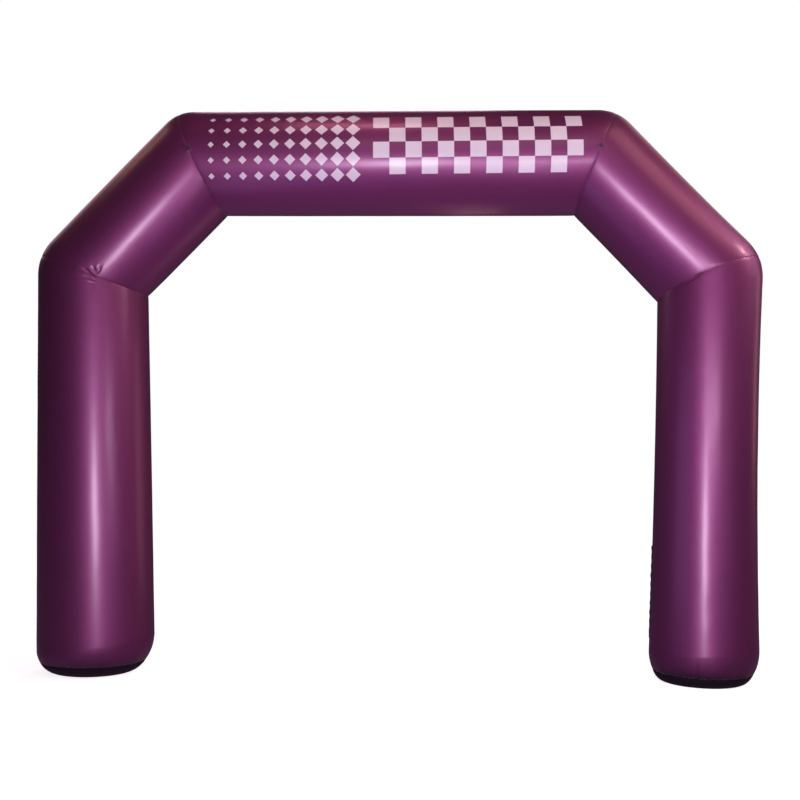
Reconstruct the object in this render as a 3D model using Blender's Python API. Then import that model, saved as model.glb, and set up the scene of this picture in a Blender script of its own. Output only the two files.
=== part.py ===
"""Inflatable event arch, standing. Five runs of air-filled coated-cloth tube meet at mitred seams,
each leg is gathered into a black base panel, a tether ring hangs on a sewn tab at each upper joint,
and a black closure strip runs up the inner side of the right leg.

Metres. +X points to the right leg, +Y through the passage to the back, +Z up. The front faces -Y.
A point on a run is given by an angle and a reach. The angle is 0 on the side that faces away from
the passage, 90 degrees at the front, 180 on the side that faces the passage and 270 at the back.
The reach is the distance along that side from the run's first seam, in path order: left leg up,
left shoulder, beam, right shoulder, right leg down.
"""

import math
from collections import namedtuple

import bmesh
import bpy
from mathutils import Vector

# Clearances and mesh steps
GAP = 0.0003  # between neighbouring pieces
SURFACE_GAP = 0.0005  # under a piece sewn flat on a tube
TUBE_SIDES = 48
SEAM_STEPS = (0.012, 0.034, 0.070, 0.130, 0.240)  # distances of the loops beside a seam
LOOP_SPACING = 0.55  # between loops in the plain stretch of a run
FOOT_LOOPS = 4  # loops in the rounding of a foot
BASE_LOOPS = 4  # loops between a base's seam and its flat

# Joints between two runs: centre, tube radius there, how far the rounding of the outer corner runs
Joint = namedtuple("Joint", "x z radius corner_run")
LOWER_LEFT = Joint(x=-2.626, z=3.290, radius=0.442, corner_run=0.170)
UPPER_LEFT = Joint(x=-1.730, z=4.276, radius=0.440, corner_run=0.140)
UPPER_RIGHT = Joint(x=1.650, z=4.340, radius=0.438, corner_run=0.170)
LOWER_RIGHT = Joint(x=2.624, z=3.334, radius=0.434, corner_run=0.200)
SEAM_LEAN = 0.095  # how far a seam's front lies back along the path, for a tube of radius 1

# Feet: centre of the leg at the floor, its radius, the flat's radius, how far the flat lies outwards of
# the centre, how high the rounding reaches on the outer and on the passage side, and the seam's height
Foot = namedtuple("Foot", "x y radius flat_radius flat_shift round_outer round_inner seam")
LEFT_FOOT = Foot(-2.467, 0.0, 0.464, 0.268, 0.025, 0.210, 0.275, 0.096)
RIGHT_FOOT = Foot(2.480, -0.110, 0.431, 0.300, -0.018, 0.295, 0.205, 0.084)

# Seams
SEAM_PINCH = 0.0025  # how far a mitre seam draws the cloth in
SEAM_NECK = 0.014  # how fast it swells out again
BASE_PINCH = 0.006
BASE_NECK = 0.045

# Runs: swell half way along (negative is a waist), sideways bow of the middle away from the passage
Run = namedtuple("Run", "name start end swell bow")
RUNS = (
    Run("leg_left", LEFT_FOOT, LOWER_LEFT, 0.001, 0.000),
    Run("shoulder_left", LOWER_LEFT, UPPER_LEFT, 0.003, 0.000),
    Run("crossbeam", UPPER_LEFT, UPPER_RIGHT, 0.002, 0.000),
    Run("shoulder_right", UPPER_RIGHT, LOWER_RIGHT, -0.006, -0.004),
    Run("leg_right", LOWER_RIGHT, RIGHT_FOOT, -0.020, -0.010),
)

# Gathers that a seam leaves in the cloth: lobes round the tube, phase in radians, share of the depth
Gather = namedtuple("Gather", "lobes phase share")
GATHERS = (Gather(7, 0.4, 0.40), Gather(11, 2.1, 0.35), Gather(17, 4.0, 0.25))
MITRE_GATHER_DEPTH = 0.0010
BASE_GATHER_DEPTH = 0.0050

# Creases beside a joint. Around is the arc from the front line towards the passage, along the distance
# past the seam in path order, and heading turns from the passage side (0) to the path's direction (90)
Crease = namedtuple("Crease", "joint around along heading length width depth")
CREASES = (
    Crease(LOWER_LEFT, 0.157, 0.018, 112, 0.110, 0.015, 0.0050),
    Crease(LOWER_LEFT, 0.156, 0.012, 140, 0.115, 0.015, 0.0080),
    Crease(LOWER_LEFT, 0.160, -0.008, 162, 0.140, 0.015, 0.0085),
    Crease(LOWER_LEFT, 0.160, -0.036, 178, 0.115, 0.014, 0.0070),
    Crease(LOWER_LEFT, 0.160, -0.068, 181, 0.080, 0.013, 0.0055),
    Crease(LOWER_LEFT, 0.158, -0.098, 182, 0.065, 0.013, 0.0040),
    Crease(LOWER_RIGHT, 0.175, 0.004, 8, 0.180, 0.016, 0.0035),
)

# Single tucks over the base seams: arc from the front line towards the passage, width, height, depth
Tuck = namedtuple("Tuck", "foot around width height depth")
TUCKS = (
    Tuck(LEFT_FOOT, 0.185, 0.016, 0.070, 0.012),
    Tuck(LEFT_FOOT, 0.060, 0.024, 0.045, 0.006),
    Tuck(LEFT_FOOT, -0.130, 0.022, 0.050, 0.006),
    Tuck(RIGHT_FOOT, 0.180, 0.018, 0.075, 0.012),
    Tuck(RIGHT_FOOT, 0.020, 0.024, 0.045, 0.006),
    Tuck(RIGHT_FOOT, -0.150, 0.022, 0.050, 0.005),
)

# Where the grid of a run is cut finer: angles in degrees, reach from the seam or foot, and how often
# its cells are halved round the tube and along it
Fine = namedtuple("Fine", "run at first_angle last_angle reach round_halvings along_halvings")
FINE_PATCHES = (
    Fine("leg_left", LOWER_LEFT, 90, 113, 0.140, 3, 2),
    Fine("shoulder_left", LOWER_LEFT, 90, 113, 0.090, 3, 2),
    Fine("shoulder_right", LOWER_RIGHT, 105, 140, 0.075, 2, 1),
    Fine("leg_right", LOWER_RIGHT, 105, 140, 0.075, 2, 1),
    Fine("leg_left", LEFT_FOOT, 105, 120, 0.050, 2, 2),
    Fine("leg_right", RIGHT_FOOT, 105, 120, 0.050, 2, 2),
)

# Tethers, sewn over a seam: which joint, and the angle in degrees
Tether = namedtuple("Tether", "side joint angle")
TETHERS = (Tether("left", UPPER_LEFT, 88), Tether("right", UPPER_RIGHT, 92))
PATCH_WIDTH = 0.052  # across the seam
PATCH_HEIGHT = 0.076  # along the seam
PATCH_THICKNESS = 0.0016
PATCH_CORNER = 4.0  # exponent of the rounded rectangle
TAB_WIDTH = 0.026
TAB_CLOTH = 0.0014
TAB_RISE = 0.020  # from the bar up to the tab's sewn end
RING_WIRE = 0.0019  # radius of the ring's wire
RING_INNER = 0.030  # length of the bar between the ring's sides
RING_DROP = 0.030  # from the bar's centre to the bow's centre line

# Closure strip inside the right leg
STRIP_ANGLE = 190
STRIP_WIDTH = 0.070
STRIP_BOTTOM = 0.330
STRIP_TOP = 1.080
STRIP_THICKNESS = 0.0030
STRIP_SCALLOPS = 10
SCALLOP_RISE = 0.0060
SCALLOP_SWAY = 0.0050

# Colours, linear
PURPLE = (0.110, 0.014, 0.085)
BLACK = (0.006, 0.006, 0.008)
DARK_STEEL = (0.080, 0.080, 0.085)

UP = Vector((0, 0, 1))
BACK = Vector((0, 1, 0))
FRONT_ANGLE = math.pi / 2


def centre_of(end):
    """The centre line's point at a joint, or at the floor under a foot."""
    if isinstance(end, Foot):
        return Vector((end.x, end.y, 0))
    return Vector((end.x, 0, end.z))


def directions(run):
    """Unit vectors of a run: along it, away from the passage, and to the front."""
    along = (centre_of(run.end) - centre_of(run.start)).normalized()
    outward = along.cross(BACK).normalized()
    return along, outward, along.cross(outward)


def runs_at(joint):
    """The run that ends at a joint, and the one that starts there."""
    before = next(run for run in RUNS if run.end is joint)
    after = next(run for run in RUNS if run.start is joint)
    return before, after


def mitre(joint):
    """The seam plane's two directions, outward (stretched as a mitre is) and front (leaning a little)."""
    before, after = (directions(run)[0] for run in runs_at(joint))
    normal = (before + after).normalized()
    front = (-BACK + normal * normal.dot(BACK)).normalized()
    stretch = 1 / before.dot(normal)
    return front.cross(normal) * stretch, front - normal * SEAM_LEAN


def seam_vector(joint, angle):
    """From a joint's centre to its seam, for a tube of radius 1."""
    outward, front = mitre(joint)
    return outward * math.cos(angle) + front * math.sin(angle)


def gathers(angle, phase):
    """Uneven folds round a seam, from -1 to 1."""
    return sum(g.share * math.cos(g.lobes * angle + g.phase + phase) for g in GATHERS)


def corner_rounding(joint, angle, distance):
    """How far the outer corner of a mitre is rounded off at this distance from the seam."""
    if distance >= joint.corner_run or math.cos(angle) <= 0:
        return 0.0
    before, after = (directions(run)[0] for run in runs_at(joint))
    slope = math.tan(before.angle(after) / 2)
    depth = joint.corner_run * slope / (2 + 2 * slope * slope)
    return depth * math.cos(angle) * (1 - distance / joint.corner_run) ** 2


def joint_drop(joint, angle, distance):
    """How far the cloth is drawn in beside a mitre seam."""
    neck = math.exp(-distance / SEAM_NECK)
    gather = MITRE_GATHER_DEPTH * gathers(angle, joint.x) * min(1.0, distance / 0.012)
    return corner_rounding(joint, angle, distance) + (SEAM_PINCH + gather) * neck


def crease_depth(crease, around, along):
    """A soft valley with low ridges, deepest a third of the way from its start."""
    heading = math.radians(crease.heading)
    side, ahead = around - crease.around, along - crease.along
    run = side * math.cos(heading) + ahead * math.sin(heading)
    across = -side * math.sin(heading) + ahead * math.cos(heading)
    share = run / crease.length
    if not 0 < share < 1:
        return 0.0
    swell = math.sin(math.pi * share ** 0.8) ** 1.3
    offset = (across / crease.width) ** 2
    return crease.depth * swell * (1 - 0.9 * offset) * math.exp(-offset)


def creases_at(joint, angle, along):
    around = joint.radius * (angle - FRONT_ANGLE)
    return sum(crease_depth(c, around, along) for c in CREASES if c.joint is joint)


def foot_wall(run, foot, angle):
    """Where the straight side of a leg ends over its foot."""
    along, outward, front = directions(run)
    upward = along if along.z > 0 else -along
    middle = (foot.round_outer + foot.round_inner) / 2
    lean = (foot.round_outer - foot.round_inner) / 2
    height = middle + lean * math.cos(angle)
    side = outward * math.cos(angle) + front * math.sin(angle)
    return centre_of(foot) + upward * height + side * foot.radius


def foot_flat(foot, angle):
    """The edge of the flat that a foot stands on."""
    outward = math.copysign(1, foot.x)
    side = Vector((outward * math.cos(angle), -math.sin(angle), 0))
    return centre_of(foot) + Vector((outward * foot.flat_shift, 0, 0)) + side * foot.flat_radius


def foot_point(run, foot, angle, height_share):
    """A point of the rounding under a leg. The share is 0 at the straight side and 1 at the flat."""
    wall, flat = foot_wall(run, foot, angle), foot_flat(foot, angle)
    turn = height_share * math.pi / 2
    sideways = Vector((wall.x - flat.x, wall.y - flat.y, 0))
    point = flat + sideways * math.cos(turn) + UP * wall.z * (1 - math.sin(turn))
    return point - sideways.normalized() * base_drop(foot, angle, point.z)


def seam_share(run, foot, angle, height):
    """The share of a foot's rounding at which it reaches this height."""
    return math.asin(1 - height / foot_wall(run, foot, angle).z) / (math.pi / 2)


def base_drop(foot, angle, height):
    """How far the cloth is drawn in beside a base's seam."""
    distance = abs(height - foot.seam)
    neck = math.exp(-distance / BASE_NECK) * min(1.0, height / foot.seam)
    total = (BASE_PINCH + BASE_GATHER_DEPTH * gathers(angle, foot.x)) * neck
    around = foot.radius * (angle - FRONT_ANGLE)
    above = max(0.0, height - foot.seam)
    for tuck in TUCKS:
        if tuck.foot is foot:
            offset = ((around - tuck.around) / tuck.width) ** 2 + (above / tuck.height) ** 2
            total += tuck.depth * math.exp(-offset) * min(1.0, height / foot.seam)
    return total


def side_ends(run, angle):
    """The two ends of a straight side of a run, before its seams draw it in."""
    ends = []
    for end in (run.start, run.end):
        if isinstance(end, Foot):
            ends.append(foot_wall(run, end, angle))
        else:
            ends.append(centre_of(end) + seam_vector(end, angle) * end.radius)
    return ends


def side_length(run, angle):
    first, last = side_ends(run, angle)
    return (last - first).length


def surface(run, angle, reach):
    """The cloth's point at this angle and reach. A reach before 0 or past the side's length lies in
    the rounding of a foot, and counts there as the share of the foot seam's way."""
    first, last = side_ends(run, angle)
    length = (last - first).length
    if reach < 0 or reach > length:
        foot, share = (run.start, -reach) if reach < 0 else (run.end, reach - length)
        seam = seam_share(run, foot, angle, foot.seam + GAP / 2)
        return foot_point(run, foot, angle, share * seam)
    point = first.lerp(last, reach / length)
    _, outward, front = directions(run)
    side = outward * math.cos(angle) + front * math.sin(angle)
    hump = 4 * (reach / length) * (1 - reach / length)
    point += side * run.swell * hump + outward * run.bow * hump
    for end, distance, sign in ((run.start, reach, 1), (run.end, length - reach, -1)):
        if isinstance(end, Foot):
            point -= side * base_drop(end, angle, max(point.z, end.seam))
        else:
            at_seam = seam_vector(end, angle)
            point -= at_seam * joint_drop(end, angle, distance)
            # A crease that crosses the seam stays in its plane there.
            inward = side.lerp(at_seam, math.exp(-distance / SEAM_NECK))
            point -= inward * creases_at(end, angle, sign * distance)
    return point


def reaches(run, angle):
    """The reaches of a run's loops at this angle, from its first end to its last."""
    length = side_length(run, angle)
    fixed = [0.0, *SEAM_STEPS]
    plain = (centre_of(run.end) - centre_of(run.start)).length - 2 * SEAM_STEPS[-1]
    count = max(1, round(plain / LOOP_SPACING))
    span = length - 2 * SEAM_STEPS[-1]
    middle = [SEAM_STEPS[-1] + span * k / count for k in range(1, count)]
    found = fixed + middle + [length - step for step in reversed(fixed)]
    seam_gap = GAP / 2
    foot_shares = [(k + 1) / FOOT_LOOPS for k in range(FOOT_LOOPS)]
    if isinstance(run.start, Foot):
        found = [-share for share in reversed(foot_shares)] + found
    else:
        found[0] = seam_gap
    if isinstance(run.end, Foot):
        found += [length + share for share in foot_shares]
    else:
        found[-1] = length - seam_gap
    return found


def fine_faces(bm, run, fine, rows):
    """The faces of the flat grid inside one patch that is cut finer."""
    first, last = math.radians(fine.first_angle), math.radians(fine.last_angle)
    inside = []
    for face in bm.faces:
        middle = face.calc_center_median()
        at = reaches(run, middle.x)
        low = min(int(middle.y), rows - 2)
        reach = at[low] + (at[low + 1] - at[low]) * (middle.y - low)
        distance = reach if fine.at is run.start else side_length(run, middle.x) - reach
        if first < middle.x < last and distance < fine.reach and 0 < middle.y < rows - 1:
            inside.append(face)
    return inside


def halve(bm, faces, axis):
    """Cuts faces of the flat grid in two across one of its axes."""
    edges = {edge for face in faces for edge in face.edges}
    lengthwise = [edge for edge in edges if abs(edge.verts[0].co[axis] - edge.verts[1].co[axis]) > 1e-6]
    bmesh.ops.subdivide_edges(bm, edges=lengthwise, cuts=1, use_grid_fill=True)


def tube_mesh(run):
    """A run's closed solid. Its grid is laid out flat, cut finer in places, and wrapped round."""
    bm = bmesh.new()
    rows = len(reaches(run, 0.0))
    step = 2 * math.pi / TUBE_SIDES
    # The grid's two edges meet at the back.
    angles = [-FRONT_ANGLE + step * k for k in range(TUBE_SIDES + 1)]
    grid = [[bm.verts.new((angle, row, 0)) for angle in angles] for row in range(rows)]
    for low, high in zip(grid, grid[1:]):
        for k in range(TUBE_SIDES):
            bm.faces.new((low[k], low[k + 1], high[k + 1], high[k]))
    for fine in FINE_PATCHES:
        if fine.run != run.name:
            continue
        for axis, halvings in ((0, fine.round_halvings), (1, fine.along_halvings)):
            for _ in range(halvings):
                halve(bm, fine_faces(bm, run, fine, rows), axis)
    for vert in bm.verts:
        angle, row = vert.co.x, vert.co.y
        at = reaches(run, angle)
        low = min(int(row), rows - 2)
        reach = at[low] + (at[low + 1] - at[low]) * (row - low)
        vert.co = surface(run, angle, reach)
    bmesh.ops.remove_doubles(bm, verts=bm.verts, dist=GAP / 10)
    close_ends(bm)
    return bm


def close_ends(bm):
    """Closes each open loop with a fan of triangles round its middle."""
    open_edges = {edge for edge in bm.edges if edge.is_boundary}
    while open_edges:
        loop, front = [], [open_edges.pop()]
        while front:
            edge = front.pop()
            loop.append(edge)
            linked = {other for vert in edge.verts for other in vert.link_edges} & open_edges
            open_edges -= linked
            front.extend(linked)
        verts = {vert for edge in loop for vert in edge.verts}
        hub = bm.verts.new(sum((vert.co for vert in verts), Vector()) / len(verts))
        for edge in loop:
            tail, head = (corner.vert for corner in (edge.link_loops[0], edge.link_loops[0].link_loop_next))
            bm.faces.new((head, tail, hub))


def base_mesh(run, foot):
    """The black base under a foot: from the seam round to the flat, closed across at the seam."""
    bm = bmesh.new()
    loops = []
    for row in range(BASE_LOOPS + 1):
        loop = []
        for k in range(TUBE_SIDES):
            angle = -FRONT_ANGLE + 2 * math.pi * k / TUBE_SIDES
            seam = seam_share(run, foot, angle, foot.seam - GAP / 2)
            share = seam + (1 - seam) * row / BASE_LOOPS
            loop.append(bm.verts.new(foot_point(run, foot, angle, share)))
        loops.append(loop)
    for high, low in zip(loops, loops[1:]):
        for k in range(TUBE_SIDES):
            after = (k + 1) % TUBE_SIDES
            bm.faces.new((high[k], low[k], low[after], high[after]))
    close_ends(bm)
    bmesh.ops.recalc_face_normals(bm, faces=bm.faces)
    return bm


def tube_normal(run, angle, reach):
    """The cloth's outward direction."""
    small = 0.002
    round_way = surface(run, angle + small, reach) - surface(run, angle - small, reach)
    along_way = surface(run, angle, reach + small) - surface(run, angle, reach - small)
    return round_way.cross(along_way).normalized()


def skin_mesh(loops, thickness):
    """A sheet that lies on the cloth. Loops are rows of (point, normal, extra rise), all of one length;
    the rise adds to the sheet's thickness."""
    bm = bmesh.new()
    under, over = [], []
    for loop in loops:
        under.append([bm.verts.new(point + normal * SURFACE_GAP) for point, normal, _ in loop])
        over.append([bm.verts.new(point + normal * (SURFACE_GAP + thickness + rise))
                     for point, normal, rise in loop])
    last = len(loops) - 1
    wide = len(loops[0]) - 1
    for j in range(last):
        for k in range(wide):
            bm.faces.new((over[j][k], over[j][k + 1], over[j + 1][k + 1], over[j + 1][k]))
            bm.faces.new((under[j][k], under[j + 1][k], under[j + 1][k + 1], under[j][k + 1]))
    for j in range(last):
        for k in (0, wide):
            bm.faces.new((under[j][k], over[j][k], over[j + 1][k], under[j + 1][k]))
    for k in range(wide):
        for j in (0, last):
            bm.faces.new((under[j][k], over[j][k], over[j][k + 1], under[j][k + 1]))
    bmesh.ops.recalc_face_normals(bm, faces=bm.faces)
    return bm


def across_seam(joint, angle, step):
    """The cloth's point a step past a seam in path order, or before it where the step is negative."""
    before, after = runs_at(joint)
    if step < 0:
        return surface(before, angle, side_length(before, angle) + step)
    return surface(after, angle, step)


def seam_normal(joint, angle):
    """The cloth's outward direction over a seam, as both runs share it."""
    small, aside = 0.002, PATCH_WIDTH / 2
    round_way = across_seam(joint, angle + small, 0) - across_seam(joint, angle - small, 0)
    along_way = across_seam(joint, angle, aside) - across_seam(joint, angle, -aside)
    return round_way.cross(along_way).normalized()


def beside_seam(joint, angle, across, onward):
    """The cloth's point this far across a seam, in path order, and this far on along it."""
    small = 0.002
    seam_way = (across_seam(joint, angle + small, 0) - across_seam(joint, angle - small, 0)) / (2 * small)
    tangent = seam_way.normalized()
    side = seam_normal(joint, angle).cross(tangent)
    along = directions(runs_at(joint)[0 if across < 0 else 1])[0]
    if along.dot(side) < 0:
        side = -side
    step = across / along.dot(side)
    turn = (onward - step * along.dot(tangent)) / seam_way.length
    return across_seam(joint, angle + turn, step)


def patch_rows(tether):
    """Rows of a patch over a seam, whose ends follow its rounded outline. The layers of the seam fill
    its groove, so that each row's face is level."""
    middle = math.radians(tether.angle)
    rows, columns = 8, 6
    loops = []
    for j in range(rows + 1):
        up = math.sin(math.pi * (j / rows - 0.5)) * 0.985
        half = PATCH_WIDTH / 2 * (1 - abs(up) ** PATCH_CORNER) ** (1 / PATCH_CORNER)
        onward = up * PATCH_HEIGHT / 2
        normal = seam_normal(tether.joint, middle + onward / tether.joint.radius)
        sides = [half * (2 * k / columns - 1) for k in range(columns + 1)]
        points = [beside_seam(tether.joint, middle, side, onward) for side in sides]
        level = max(point.dot(normal) for point in points)
        loops.append([(point, normal, level - point.dot(normal)) for point in points])
    return loops


def tether_frame(tether):
    """The middle of the ring's bar, and the directions along the bar, down the cloth and off it."""
    angle = math.radians(tether.angle)
    normal = seam_normal(tether.joint, angle)
    down = (normal * normal.dot(UP) - UP).normalized()
    face = max((point + turned * (SURFACE_GAP + PATCH_THICKNESS + rise)).dot(normal)
               for loop in patch_rows(tether) for point, turned, rise in loop)
    middle = across_seam(tether.joint, angle, 0)
    middle += normal * (face + GAP + TAB_CLOTH + GAP + RING_WIRE - middle.dot(normal))
    return middle, down.cross(normal), down, normal


def tab_mesh(tether):
    """A webbing loop round the ring's bar, with its two layers sewn together above it."""
    middle, across, down, normal = tether_frame(tether)
    inner = RING_WIRE + GAP
    outer = inner + TAB_CLOTH
    turns = [math.radians(-90 + 180 * k / 8) for k in range(9)]
    # From the back layer's top, down and round under the bar, and up the front layer.
    outside = [(-TAB_RISE, -outer), *((outer * math.cos(t), outer * math.sin(t)) for t in turns)]
    outside += [(-inner * 1.2, outer), (-TAB_RISE * 0.55, -outer + 2.2 * TAB_CLOTH)]
    outside += [(-TAB_RISE, -outer + 2 * TAB_CLOTH)]
    back_turns = [math.radians(90 + 180 * k / 8) for k in range(1, 8)]
    inside = [(inner * math.cos(t), inner * math.sin(t)) for t in turns + back_turns]
    bm = bmesh.new()
    sides = []
    for shift in (-TAB_WIDTH / 2, TAB_WIDTH / 2):
        rims = []
        for outline in (outside, inside):
            places = [middle + across * shift + down * d + normal * n for d, n in outline]
            rims.append([bm.verts.new(place) for place in places])
        sides.append(rims)
        edges = [bm.edges.new((rim[k], rim[k - 1])) for rim in rims for k in range(len(rim))]
        bmesh.ops.triangle_fill(bm, use_beauty=True, edges=edges)
    for near, far in zip(*sides):
        for k in range(len(near)):
            bm.faces.new((near[k - 1], near[k], far[k], far[k - 1]))
    bmesh.ops.recalc_face_normals(bm, faces=bm.faces)
    return bm


def ring_curve(tether, name):
    """The D-shaped ring: a straight bar in the tab's loop and a bow that hangs from it."""
    middle, across, down, _ = tether_frame(tether)
    half = RING_INNER / 2 + RING_WIRE
    outline = [(half * (2 * k / 4 - 1), 0.0) for k in range(5)]
    drop = RING_DROP - half
    turns = [math.pi * k / 12 for k in range(13)]
    outline += [(half * math.cos(t), drop + half * math.sin(t)) for t in turns]
    curve = bpy.data.curves.new(name, "CURVE")
    curve.dimensions = "3D"
    curve.bevel_depth = RING_WIRE
    curve.bevel_resolution = 1
    spline = curve.splines.new("POLY")
    spline.points.add(len(outline) - 1)
    for point, (side, fall) in zip(spline.points, outline):
        point.co = (*(middle + across * side + down * fall), 1)
    spline.use_cyclic_u = True
    return curve


def strip_mesh():
    """The closure strip: its edges sway and its face humps between the stitches that hold it."""
    run = RUNS[-1]
    middle = math.radians(STRIP_ANGLE)
    radius = RIGHT_FOOT.radius
    columns, rows = 3, STRIP_SCALLOPS * 4
    length = side_length(run, middle)
    top = surface(run, middle, length * 0.5).z
    fall = (top - surface(run, middle, length).z) / (length * 0.5)
    loops = []
    for j in range(rows + 1):
        share = j / rows
        height = STRIP_TOP + (STRIP_BOTTOM - STRIP_TOP) * share
        wave = math.sin(2 * math.pi * STRIP_SCALLOPS * share)
        uneven = 0.75 + 0.25 * math.cos(2 * math.pi * 2.6 * share + 0.8)
        loop = []
        for k in range(columns + 1):
            place = 2 * k / columns - 1
            side = place * (STRIP_WIDTH / 2 + SCALLOP_SWAY * wave * uneven)
            angle = middle + side / radius
            reach = length * 0.5 + (top - height) / fall
            rise = SCALLOP_RISE * (0.5 + 0.5 * wave) * uneven * (1 - 0.6 * abs(place))
            loop.append((surface(run, angle, reach), tube_normal(run, angle, reach), rise))
        loops.append(loop)
    return skin_mesh(loops, STRIP_THICKNESS)


def finish(name, colour, roughness, metallic=0.0, coat=0.0):
    """A material of one plain finish."""
    material = bpy.data.materials.new(name)
    material.use_nodes = True
    shader = material.node_tree.nodes["Principled BSDF"]
    shader.inputs["Base Color"].default_value = (*colour, 1)
    shader.inputs["Roughness"].default_value = roughness
    shader.inputs["Metallic"].default_value = metallic
    shader.inputs["Coat Weight"].default_value = coat
    material.diffuse_color = (*colour, 1)
    return material


def add_object(name, shape, material, place, parent):
    """An object whose origin is at place, made from a bmesh or a curve that is laid out in the world."""
    if isinstance(shape, bmesh.types.BMesh):
        bmesh.ops.translate(shape, verts=shape.verts, vec=-place)
        data = bpy.data.meshes.new(name)
        shape.to_mesh(data)
        shape.free()
        data.shade_smooth()
        data.set_sharp_from_angle(angle=math.radians(40))
    else:
        data = shape
        for point in data.splines[0].points:
            point.co = (*(point.co.to_3d() - place), 1)
    data.materials.append(material)
    obj = bpy.data.objects.new(name, data)
    bpy.context.scene.collection.objects.link(obj)
    obj.location = place
    obj.parent = parent
    return obj


def centre_on_floor(parent, objects):
    """Moves the arch so that the middle of its footprint is at the origin."""
    bpy.context.view_layer.update()
    corners = [obj.matrix_world @ Vector(corner) for obj in objects for corner in obj.bound_box]
    for axis in (0, 1):
        places = [corner[axis] for corner in corners]
        parent.location[axis] = -(min(places) + max(places)) / 2


def main():
    for obj in list(bpy.data.objects):
        bpy.data.objects.remove(obj)
    cloth = finish("purple_coated_cloth", PURPLE, 0.36, coat=0.3)
    base_cloth = finish("black_base_cloth", BLACK, 0.60)
    webbing = finish("black_webbing", BLACK, 0.80)
    steel = finish("dark_steel", DARK_STEEL, 0.35, metallic=1.0)
    arch = bpy.data.objects.new("arch", None)
    bpy.context.scene.collection.objects.link(arch)
    made = []
    for run in RUNS:
        place = centre_of(run.start)
        made.append(add_object(run.name, tube_mesh(run), cloth, place, arch))
    for side, run, foot in (("left", RUNS[0], LEFT_FOOT), ("right", RUNS[-1], RIGHT_FOOT)):
        shape = base_mesh(run, foot)
        made.append(add_object("base_" + side, shape, base_cloth, centre_of(foot), arch))
    for tether in TETHERS:
        place = tether_frame(tether)[0]
        pieces = (
            ("patch_" + tether.side, skin_mesh(patch_rows(tether), PATCH_THICKNESS), cloth),
            ("tab_" + tether.side, tab_mesh(tether), webbing),
            ("ring_" + tether.side, ring_curve(tether, "ring_" + tether.side), steel),
        )
        for name, shape, material in pieces:
            made.append(add_object(name, shape, material, place, arch))
    place = surface(RUNS[-1], math.radians(STRIP_ANGLE), side_length(RUNS[-1], math.pi) / 2)
    made.append(add_object("closure_strip", strip_mesh(), webbing, place, arch))
    centre_on_floor(arch, made)


main()
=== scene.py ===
"""The looks of an inflatable event arch: air-filled tubes of coated cloth with mitred seams, black base
panels, sewn tethers, a closure strip and a printed beam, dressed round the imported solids.

Metres, +X to the right leg, +Y through the passage to the back, +Z up. A point of a tube is given by
an angle and a reach. The angle is 0 on the side that faces away from the passage, 90 degrees at the
front, 180 on the passage side and 270 at the back. The reach is the distance along that side from the
run's first seam, in path order: left leg up, left shoulder, beam, right shoulder, right leg down.
"""

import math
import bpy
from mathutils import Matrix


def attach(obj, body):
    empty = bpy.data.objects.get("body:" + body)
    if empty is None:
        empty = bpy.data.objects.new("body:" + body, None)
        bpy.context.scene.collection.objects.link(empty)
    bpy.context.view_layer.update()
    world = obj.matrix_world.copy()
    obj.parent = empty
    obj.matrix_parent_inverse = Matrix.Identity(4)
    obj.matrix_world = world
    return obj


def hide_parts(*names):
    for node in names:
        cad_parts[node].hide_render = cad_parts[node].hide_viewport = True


bl_info = {
    "name": "Inflatable event arch",
    "version": (1, 0, 0),
    "blender": (4, 5, 0),
    "location": "3D View > Sidebar > Arch",
    "description": "Dresses the solids of an inflatable event arch with sewn and coated cloth",
    "category": "Object",
}

from collections import namedtuple
from functools import partialmethod

import bmesh
import bpy
import numpy as np
from bpy.props import FloatProperty, FloatVectorProperty, IntProperty, PointerProperty
from bpy.types import Operator, Panel, PropertyGroup
from mathutils import Matrix, Vector
from mathutils.bvhtree import BVHTree

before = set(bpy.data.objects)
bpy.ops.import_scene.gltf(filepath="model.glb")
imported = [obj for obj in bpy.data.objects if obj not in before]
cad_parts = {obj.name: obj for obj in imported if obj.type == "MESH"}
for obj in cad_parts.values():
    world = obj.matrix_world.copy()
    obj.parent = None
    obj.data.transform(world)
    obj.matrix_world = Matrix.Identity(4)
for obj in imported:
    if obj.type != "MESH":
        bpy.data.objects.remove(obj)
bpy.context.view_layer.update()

UP = Vector((0, 0, 1))
BACK = Vector((0, 1, 0))
FRONT_ANGLE = math.pi / 2
FULL_TURN = 2 * math.pi

# Joints between two runs: centre, tube radius there, how far the rounding of the outer corner runs
Joint = namedtuple("Joint", "x z radius corner_run")
LOWER_LEFT = Joint(x=-2.626, z=3.290, radius=0.442, corner_run=0.170)
UPPER_LEFT = Joint(x=-1.730, z=4.276, radius=0.440, corner_run=0.140)
UPPER_RIGHT = Joint(x=1.650, z=4.340, radius=0.438, corner_run=0.170)
LOWER_RIGHT = Joint(x=2.624, z=3.334, radius=0.434, corner_run=0.200)
SEAM_LEAN = 0.095  # how far a seam's front lies back along the path, for a tube of radius 1

# Feet: centre of the leg at the floor, its radius, the flat's radius, how far the flat lies outwards of
# the centre, how high the rounding reaches on the outer and on the passage side, and the seam's height
Foot = namedtuple("Foot", "x y radius flat_radius flat_shift round_outer round_inner seam")
LEFT_FOOT = Foot(-2.467, 0.0, 0.464, 0.268, 0.025, 0.210, 0.275, 0.096)
RIGHT_FOOT = Foot(2.480, -0.110, 0.431, 0.300, -0.018, 0.295, 0.205, 0.084)

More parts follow.
